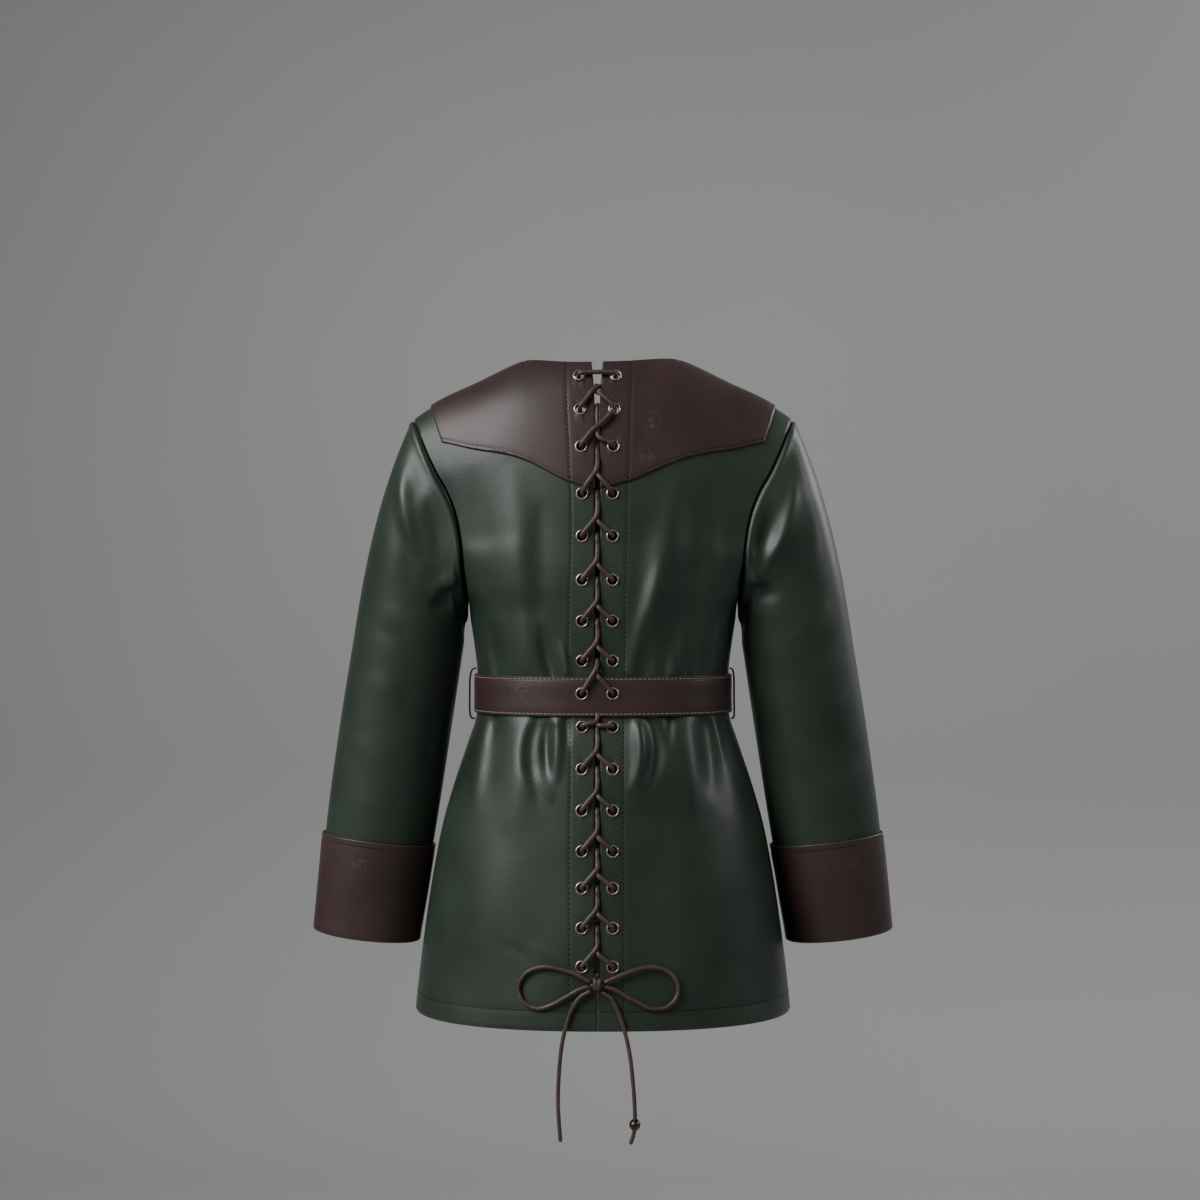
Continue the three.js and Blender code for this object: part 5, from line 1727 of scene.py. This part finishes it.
def turned_ring(profile, sides):
    """A ring turned from a closed profile of (radius, height), extruded edge by edge."""
    deselect()
    radius, height = profile[0]
    bpy.ops.mesh.primitive_circle_add(
        vertices=sides, radius=radius, location=(0, 0, height), fill_type="NOTHING"
    )
    bpy.ops.object.transform_apply(location=True, rotation=False, scale=False)
    ring = bpy.context.object
    bpy.ops.object.mode_set(mode="EDIT")
    bpy.ops.mesh.select_all(action="SELECT")
    for next_radius, next_height in [*profile[1:], profile[0]]:
        bpy.ops.mesh.extrude_region_move(
            TRANSFORM_OT_translate={"value": (0, 0, next_height - height)}
        )
        share = next_radius / radius
        bpy.ops.transform.resize(value=(share, share, 1), center_override=(0, 0, next_height))
        radius, height = next_radius, next_height
    bpy.ops.mesh.select_all(action="SELECT")
    bpy.ops.mesh.remove_doubles(threshold=1e-6)
    bpy.ops.mesh.normals_make_consistent(inside=False)
    bpy.ops.object.mode_set(mode="OBJECT")
    bpy.ops.object.shade_smooth_by_angle(angle=RING_SHARP_FROM)
    return ring


def eyelet_profile(rim):
    """An eyelet's closed section: the barrel through the cloth and the rounded flange on it."""
    hole = EYELET_HOLE
    return [
        (r * MM, h * MM) for r, h in (
            (hole, -3.2), (hole, 0.2), (hole + 0.15, 0.75), (hole + 0.45, 1.1),
            (hole + 0.8, 1.15), (rim - 0.4, 0.95), (rim - 0.12, 0.6), (rim, 0.1), (rim - 0.1, 0.0),
            (hole + 0.4, 0.0), (hole + 0.4, -3.0), (hole + 0.25, -3.2),
        )
    ]


def seat_on_back(x, z, off):
    """The matrix that stands a turned ring's axis on the cloth."""
    normal = Vector(back_normal(x, z))
    place = Vector(on_back(x, z, off)) * MM
    turn = Vector((0, 0, 1)).rotation_difference(normal)
    return Matrix.Translation(place) @ turn.to_matrix().to_4x4()


def eyelets():
    """One eyelet is turned and copied to its places, a mesh for each side of the opening."""
    master = turned_ring(eyelet_profile(sizes().eyelet_rim / MM), EYELET_SIDES)
    for hand, name in HANDS:
        shape = bmesh.new()
        for z, *_, deck, _ in LACING:
            copy = master.data.copy()
            copy.transform(seat_on_back(eyelet_x(z, hand), z, deck + LAY_GAP))
            shape.from_mesh(copy)
            bpy.data.meshes.remove(copy)
        mesh = bpy.data.meshes.new("eyelets")
        shape.to_mesh(mesh)
        shape.free()
        piece = add_object(f"eyelets_{name}", mesh, "eyelet_metal", *materials("eyelet"))
        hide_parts(*[f"eyelet_{i + 1:02d}_{name}" for i in range(len(LACING))])
    bpy.data.objects.remove(master)


def bead():
    """A round bead with a bore, strung on the right tail."""
    outline = [(math.cos(a), math.sin(a)) for a in np.linspace(-BEAD_ROUND, BEAD_ROUND, 15)]
    reach = math.sin(BEAD_ROUND)
    profile = [(BEAD_RADIUS * r * MM, BEAD_RADIUS * h * MM) for r, h in outline]
    profile += [
        ((BEAD_BORE + 0.3) * MM, BEAD_RADIUS * (reach + 0.02) * MM),
        (BEAD_BORE * MM, BEAD_RADIUS * (reach - 0.08) * MM),
        (BEAD_BORE * MM, -BEAD_RADIUS * (reach - 0.08) * MM),
        ((BEAD_BORE + 0.3) * MM, -BEAD_RADIUS * (reach + 0.02) * MM),
    ]
    ring = turned_ring(profile, BEAD_SIDES)
    x, z, off = next(at for at in ROUTES["tail_right"] if KNOT_Z + at[1] <= BEAD_Z)
    place = on_back(OPENING_X + x, KNOT_Z + z, off) * MM
    mesh = ring.data.copy()
    mesh.transform(Matrix.Translation(Vector(place)))
    bpy.data.objects.remove(ring)
    piece = add_object("bead", mesh, "bead_metal", *materials("bead"))
    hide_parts("lace_bead")
    return piece


# ---- Lace ----
def strand(start, end, hand):
    """Stations of one strand: in through an eyelet, out of the slit and on to the next row.

    Each station is across from the opening's middle, off the cloth, and height.
    """
    z0, _, _, _, deck0, _ = start
    z1, upper, bend_left, lower, deck1, crossed = end
    leave, reach = eyelet_x(z0, -hand) - OPENING_X, eyelet_x(z1, hand) - OPENING_X
    arrival = (reach * 0.97, deck1 + OVER_RIM, z1 + 0.9)
    if hand > 0 and upper is None:
        return [
            (leave * 1.03, deck0 + 0.4, z0 - 0.8),
            (leave * 0.86, deck0 + 3.2, z0 - 3.4),
            (leave * 0.4, crossed + 3.9, mix(z0, z1, 0.34)),
            (reach * 0.3, crossed + 3.9, mix(z0, z1, 0.6)),
            arrival,
        ]
    # The strand first shows in the slit at out, leaves it at mouth and turns aside at bend.
    mouth = upper if hand > 0 else lower
    bend = bend_left if hand > 0 else lower - 2.6
    out = mouth
    if hand > 0 and z0 < RUNS_BELOW:
        out = z0 + 1.5
    elif hand < 0 and z0 > RUNS_BELOW > z1:
        out = z0 + 5.0
    stations = [
        (leave, deck0 / 2 - 1, z0),
        (leave * 0.93, BEHIND, z0 - 0.6),
        (leave * 0.4, -6.4, mix(z0, out, 0.5)),
        (0, -4.6, out + 0.6),
        (0, -0.4, out - 1.4),
    ]
    if out > mouth:
        for share in (0.35, 0.7):
            stations.append((0, 0.6 + crossed * share, mix(out, mouth, share)))
    if mouth - bend > 3.5:
        stations.append((0, crossed + 2.0, mouth - 3.4))
    return stations + [
        (hand * 0.8, crossed + 2.8, bend - 1.2),
        (reach * 0.62, crossed + 3.5, mix(bend, z1, 0.6)),
        arrival,
    ]


def lace_half(hand):
    """One end of the lace, from the top bar's middle down to the knot."""
    z, *_, deck, _ = LACING[0]
    x = eyelet_x(z, hand) - OPENING_X
    stations = [
        (x * 0.5, deck + OVER_BAR, z + 0.6), (x * 0.86, deck + 3.4, z + 0.4), (x * 0.99, deck + 2.0, z),
    ]
    for start, end in zip(LACING, LACING[1:]):
        stations += strand(start, end, -hand)
        hand = -hand
    z = LACING[-1][0]
    side = eyelet_x(z, hand) - OPENING_X
    # The two ends come out one above the other, just above the knot.
    mouth = KNOT_Z + (6.2 if hand > 0 else 0.8)
    stations += [
        (side, -1, z), (side * 0.93, BEHIND, z - 1.2), (side * 0.4, -6, mix(z, mouth, 0.6)),
        (0, -4.2, mouth + 0.4), (0, 0.4 if hand > 0 else -0.4, mouth),
    ]
    x, off, z = np.array(stations, float).T
    return on_back(OPENING_X + x, z, off)


def laced():
    """The lace through all the eyelets, from one end at the knot over the bar to the other."""
    bar = on_back(OPENING_X, LACING[0][0] + 0.8, YOKE_DECK + OVER_BAR)
    path = smooth_path(np.vstack([lace_half(1)[::-1], bar[None], lace_half(-1)]), 1.3)
    mesh = joined_mesh([tube_geometry(path, LACED_WIDER * sizes().lace / MM / 2, LACED_SIDES)])
    piece = add_object("lacing", mesh, "lace_cord", *materials("lace"))
    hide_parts("lace")


def free_path(name):
    """The line of a bow's loop or a tail."""
    x, z, off = np.array(ROUTES[name], float).T
    return smooth_path(on_back(OPENING_X + x, KNOT_Z + z, off), 1.2)


def knot():
    """Two turns of lace round the crossing of the bow's loops and the tails."""
    centre = Vector(on_back(OPENING_X, KNOT_Z, KNOT_DEEP + LAY_GAP + 0.4))
    normal = Vector(back_normal(OPENING_X, KNOT_Z))
    across = Vector((1, 0, 0)) - normal * normal.x
    across.normalize()
    up = normal.cross(across)
    if up.z < 0:
        up = -up

    def turn_of(tilt, shift, wide, tall):
        """One turn of lace, leaning by tilt and shifted sideways."""
        lean = across * math.cos(tilt) + up * math.sin(tilt)
        rise = up * math.cos(tilt) - across * math.sin(tilt)
        points = []
        for angle in np.linspace(0, 2 * math.pi, 40, endpoint=False):
            outward, upward = normal * (wide * math.sin(angle)), rise * (tall * math.cos(angle))
            points.append(centre + lean * shift + outward + upward)
        return np.array([tuple(p) for p in points])

    parts = []
    radius = sizes().lace / MM / 2
    turns = ((0.16, -1.3, 2.5, 3.6), (-0.1, 1.35, 2.6, 3.7))
    for tilt, shift, wide, tall in turns:
        ring = turn_of(tilt, shift, wide, tall)
        parts.append(closed_tube(ring, radius * 1.02, LACED_SIDES))
    # Two short stretches cross inside the turns.
    for sway, lift in ((-1, 1.3), (1, -1.5)):
        ends = [
            centre + across * (5.0 * t) + up * (lift * math.cos(1.1 * t) * sway) - normal * 0.2
            for t in (-1, -0.5, 0, 0.5, 1)
        ]
        path = smooth_path([tuple(p) for p in ends], 0.8)
        parts.append(tube_geometry(path, radius * 0.98, LACED_SIDES))
    piece = add_object("knot", joined_mesh(parts), "lace_cord", *materials("lace"))
    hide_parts("lace_knot")
    return piece


def bow():
    """The knot, both loops and both tails. The bead goes with the right tail."""
    made_knot, made_bead = knot(), bead()
    for name, (length, far_end) in FREE_LACE.items():
        path = free_path(name)
        mesh = joined_mesh([tube_geometry(path, sizes().lace / MM / 2, FREE_SIDES)])
        piece = add_object(f"{name}_lace", mesh, "lace_cord", *materials("lace"))
        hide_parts(name)


# ---- Stage ----
def camera():
    """A level camera straight behind the tunic."""
    data = bpy.data.cameras.new("Camera")
    data.lens, data.sensor_width = LENS_MM, SENSOR_MM
    piece = bpy.data.objects.new("Camera", data)
    piece.location = CAMERA_PLACE
    piece.rotation_euler = (math.radians(90), 0, math.radians(180))
    bpy.context.scene.collection.objects.link(piece)
    bpy.context.scene.camera = piece


def softbox(name, place, target, size, power, spread):
    """A soft light without colour. A smaller spread keeps its light off the wall."""
    data = bpy.data.lights.new(name, "AREA")
    data.shape, data.size, data.size_y = "ELLIPSE", *size
    data.energy, data.spread = power, math.radians(spread)
    piece = bpy.data.objects.new(name, data)
    piece.location = place
    aim = Vector(target) - Vector(place)
    piece.rotation_euler = aim.to_track_quat("-Z", "Y").to_euler()
    piece.visible_camera = False
    bpy.context.scene.collection.objects.link(piece)


def studio(floor_z, colour):
    """A floor that sweeps up into a wall, soft lights and a grey surround."""
    outline = [(STUDIO_HALF, floor_z), (WALL_Y + SWEEP, floor_z)]
    for angle in np.linspace(0, math.pi / 2, 14)[1:]:
        outline.append((
            WALL_Y + SWEEP - SWEEP * math.sin(angle), floor_z + SWEEP - SWEEP * math.cos(angle)
        ))
    outline.append((WALL_Y, WALL_TOP))
    vertices = [(x, y, z) for y, z in outline for x in (-STUDIO_HALF, STUDIO_HALF)]
    faces = [(2 * i, 2 * i + 1, 2 * i + 3, 2 * i + 2) for i in range(len(outline) - 1)]
    mesh = bpy.data.meshes.new("studio")
    mesh.from_pydata(vertices, [], faces)
    mesh.shade_smooth()
    mesh.materials.append(plain_material("Studio paint", colour, roughness=0.8))
    piece = bpy.data.objects.new("studio", mesh)
    bpy.context.scene.collection.objects.link(piece)
    for light in LIGHTS:
        softbox(*light)
    world = bpy.data.worlds[0] if bpy.data.worlds else bpy.data.worlds.new("Studio")
    bpy.context.scene.world = world
    world.use_nodes = True
    surround = next(n for n in world.node_tree.nodes if n.type == "BACKGROUND")
    set_inputs(surround, {"Color": SURROUND_GREY, "Strength": SURROUND_STRENGTH})


# ---- Operators ----
class TUNIC_OT_camera(bpy.types.Operator):
    """Place the camera straight behind the wearer's back."""

    bl_idname = "tunic.camera"
    bl_label = "Camera"

    def execute(self, context):
        camera()
        return {"FINISHED"}


class TUNIC_OT_bow(bpy.types.Operator):
    """Tie the knot, the bow's two loops and the two tails with the bead."""

    bl_idname = "tunic.bow"
    bl_label = "Bow and tails"

    def execute(self, context):
        bow()
        return {"FINISHED"}


class TUNIC_OT_lace(bpy.types.Operator):
    """Thread the lace through the eyelets."""

    bl_idname = "tunic.lace"
    bl_label = "Lace"

    def execute(self, context):
        laced()
        return {"FINISHED"}


class TUNIC_OT_body(bpy.types.Operator):
    """Cut the front and the two back panels."""

    bl_idname = "tunic.body"
    bl_label = "Body panels"

    def execute(self, context):
        front_panel()
        for hand, name in HANDS:
            back_panel(hand, name)
        return {"FINISHED"}


class TUNIC_OT_yokes(bpy.types.Operator):
    """Lay the two halves of the yoke on the back."""

    bl_idname = "tunic.yokes"
    bl_label = "Yoke"

    def execute(self, context):
        for hand, name in HANDS:
            yoke(hand, name)
        return {"FINISHED"}


class TUNIC_OT_sleeves(bpy.types.Operator):
    """Set in the sleeves and turn up their cuffs."""

    bl_idname = "tunic.sleeves"
    bl_label = "Sleeves and cuffs"

    def execute(self, context):
        for hand, name in HANDS:
            sleeve(hand, name)
            cuff(hand, name)
        return {"FINISHED"}


class TUNIC_OT_belt(bpy.types.Operator):
    """Put the belt round the waist, under its loops."""

    bl_idname = "tunic.belt"
    bl_label = "Belt and loops"

    def execute(self, context):
        belt()
        for hand, name in HANDS:
            belt_loop(hand, name)
        return {"FINISHED"}


class TUNIC_OT_eyelets(bpy.types.Operator):
    """Set the eyelets up both sides of the opening."""

    bl_idname = "tunic.eyelets"
    bl_label = "Eyelets"

    def execute(self, context):
        eyelets()
        return {"FINISHED"}


class TUNIC_OT_stitches(bpy.types.Operator):
    """Sew the facings, the hem, the belt, the yoke and the cuffs."""

    bl_idname = "tunic.stitches"
    bl_label = "Stitches"

    def execute(self, context):
        for hand, name in HANDS:
            facing_stitches(hand, name)
        hem_stitches()
        edge_stitches()
        belt_stitches()
        return {"FINISHED"}


class TUNIC_OT_stage(bpy.types.Operator):
    """Set up the floor, the wall and the lights."""

    bl_idname = "tunic.stage"
    bl_label = "Stage"

    def execute(self, context):
        studio(-sizes().floor_drop, tuple(context.scene.tunic_colours.floor))
        return {"FINISHED"}


STEPS = (
    TUNIC_OT_camera, TUNIC_OT_bow, TUNIC_OT_lace, TUNIC_OT_body, TUNIC_OT_yokes,
    TUNIC_OT_sleeves, TUNIC_OT_belt, TUNIC_OT_eyelets, TUNIC_OT_stitches, TUNIC_OT_stage,
)


class TUNIC_PT_parts(bpy.types.Panel):
    """The tunic's sizes, colours and parts."""

    bl_label = "Tunic"
    bl_idname = "TUNIC_PT_parts"
    bl_space_type = "VIEW_3D"
    bl_region_type = "UI"
    bl_category = "Tunic"

    def draw(self, context):
        for group in (context.scene.tunic_sizes, context.scene.tunic_colours):
            box = self.layout.box()
            for name in group.__annotations__:
                box.prop(group, name)
        for step in STEPS:
            self.layout.operator(step.bl_idname)


CLASSES = (TunicSizes, TunicColours, *STEPS, TUNIC_PT_parts)


def register():
    for kind in CLASSES:
        bpy.utils.register_class(kind)
    bpy.types.Scene.tunic_sizes = PointerProperty(type=TunicSizes)
    bpy.types.Scene.tunic_colours = PointerProperty(type=TunicColours)


def unregister():
    del bpy.types.Scene.tunic_colours
    del bpy.types.Scene.tunic_sizes
    for kind in reversed(CLASSES):
        bpy.utils.unregister_class(kind)


def main():
    """Builds every part in order."""
    register()
    for step in STEPS:
        group, name = step.bl_idname.split(".")
        getattr(getattr(bpy.ops, group), name)()


if __name__ == "__main__":
    main()
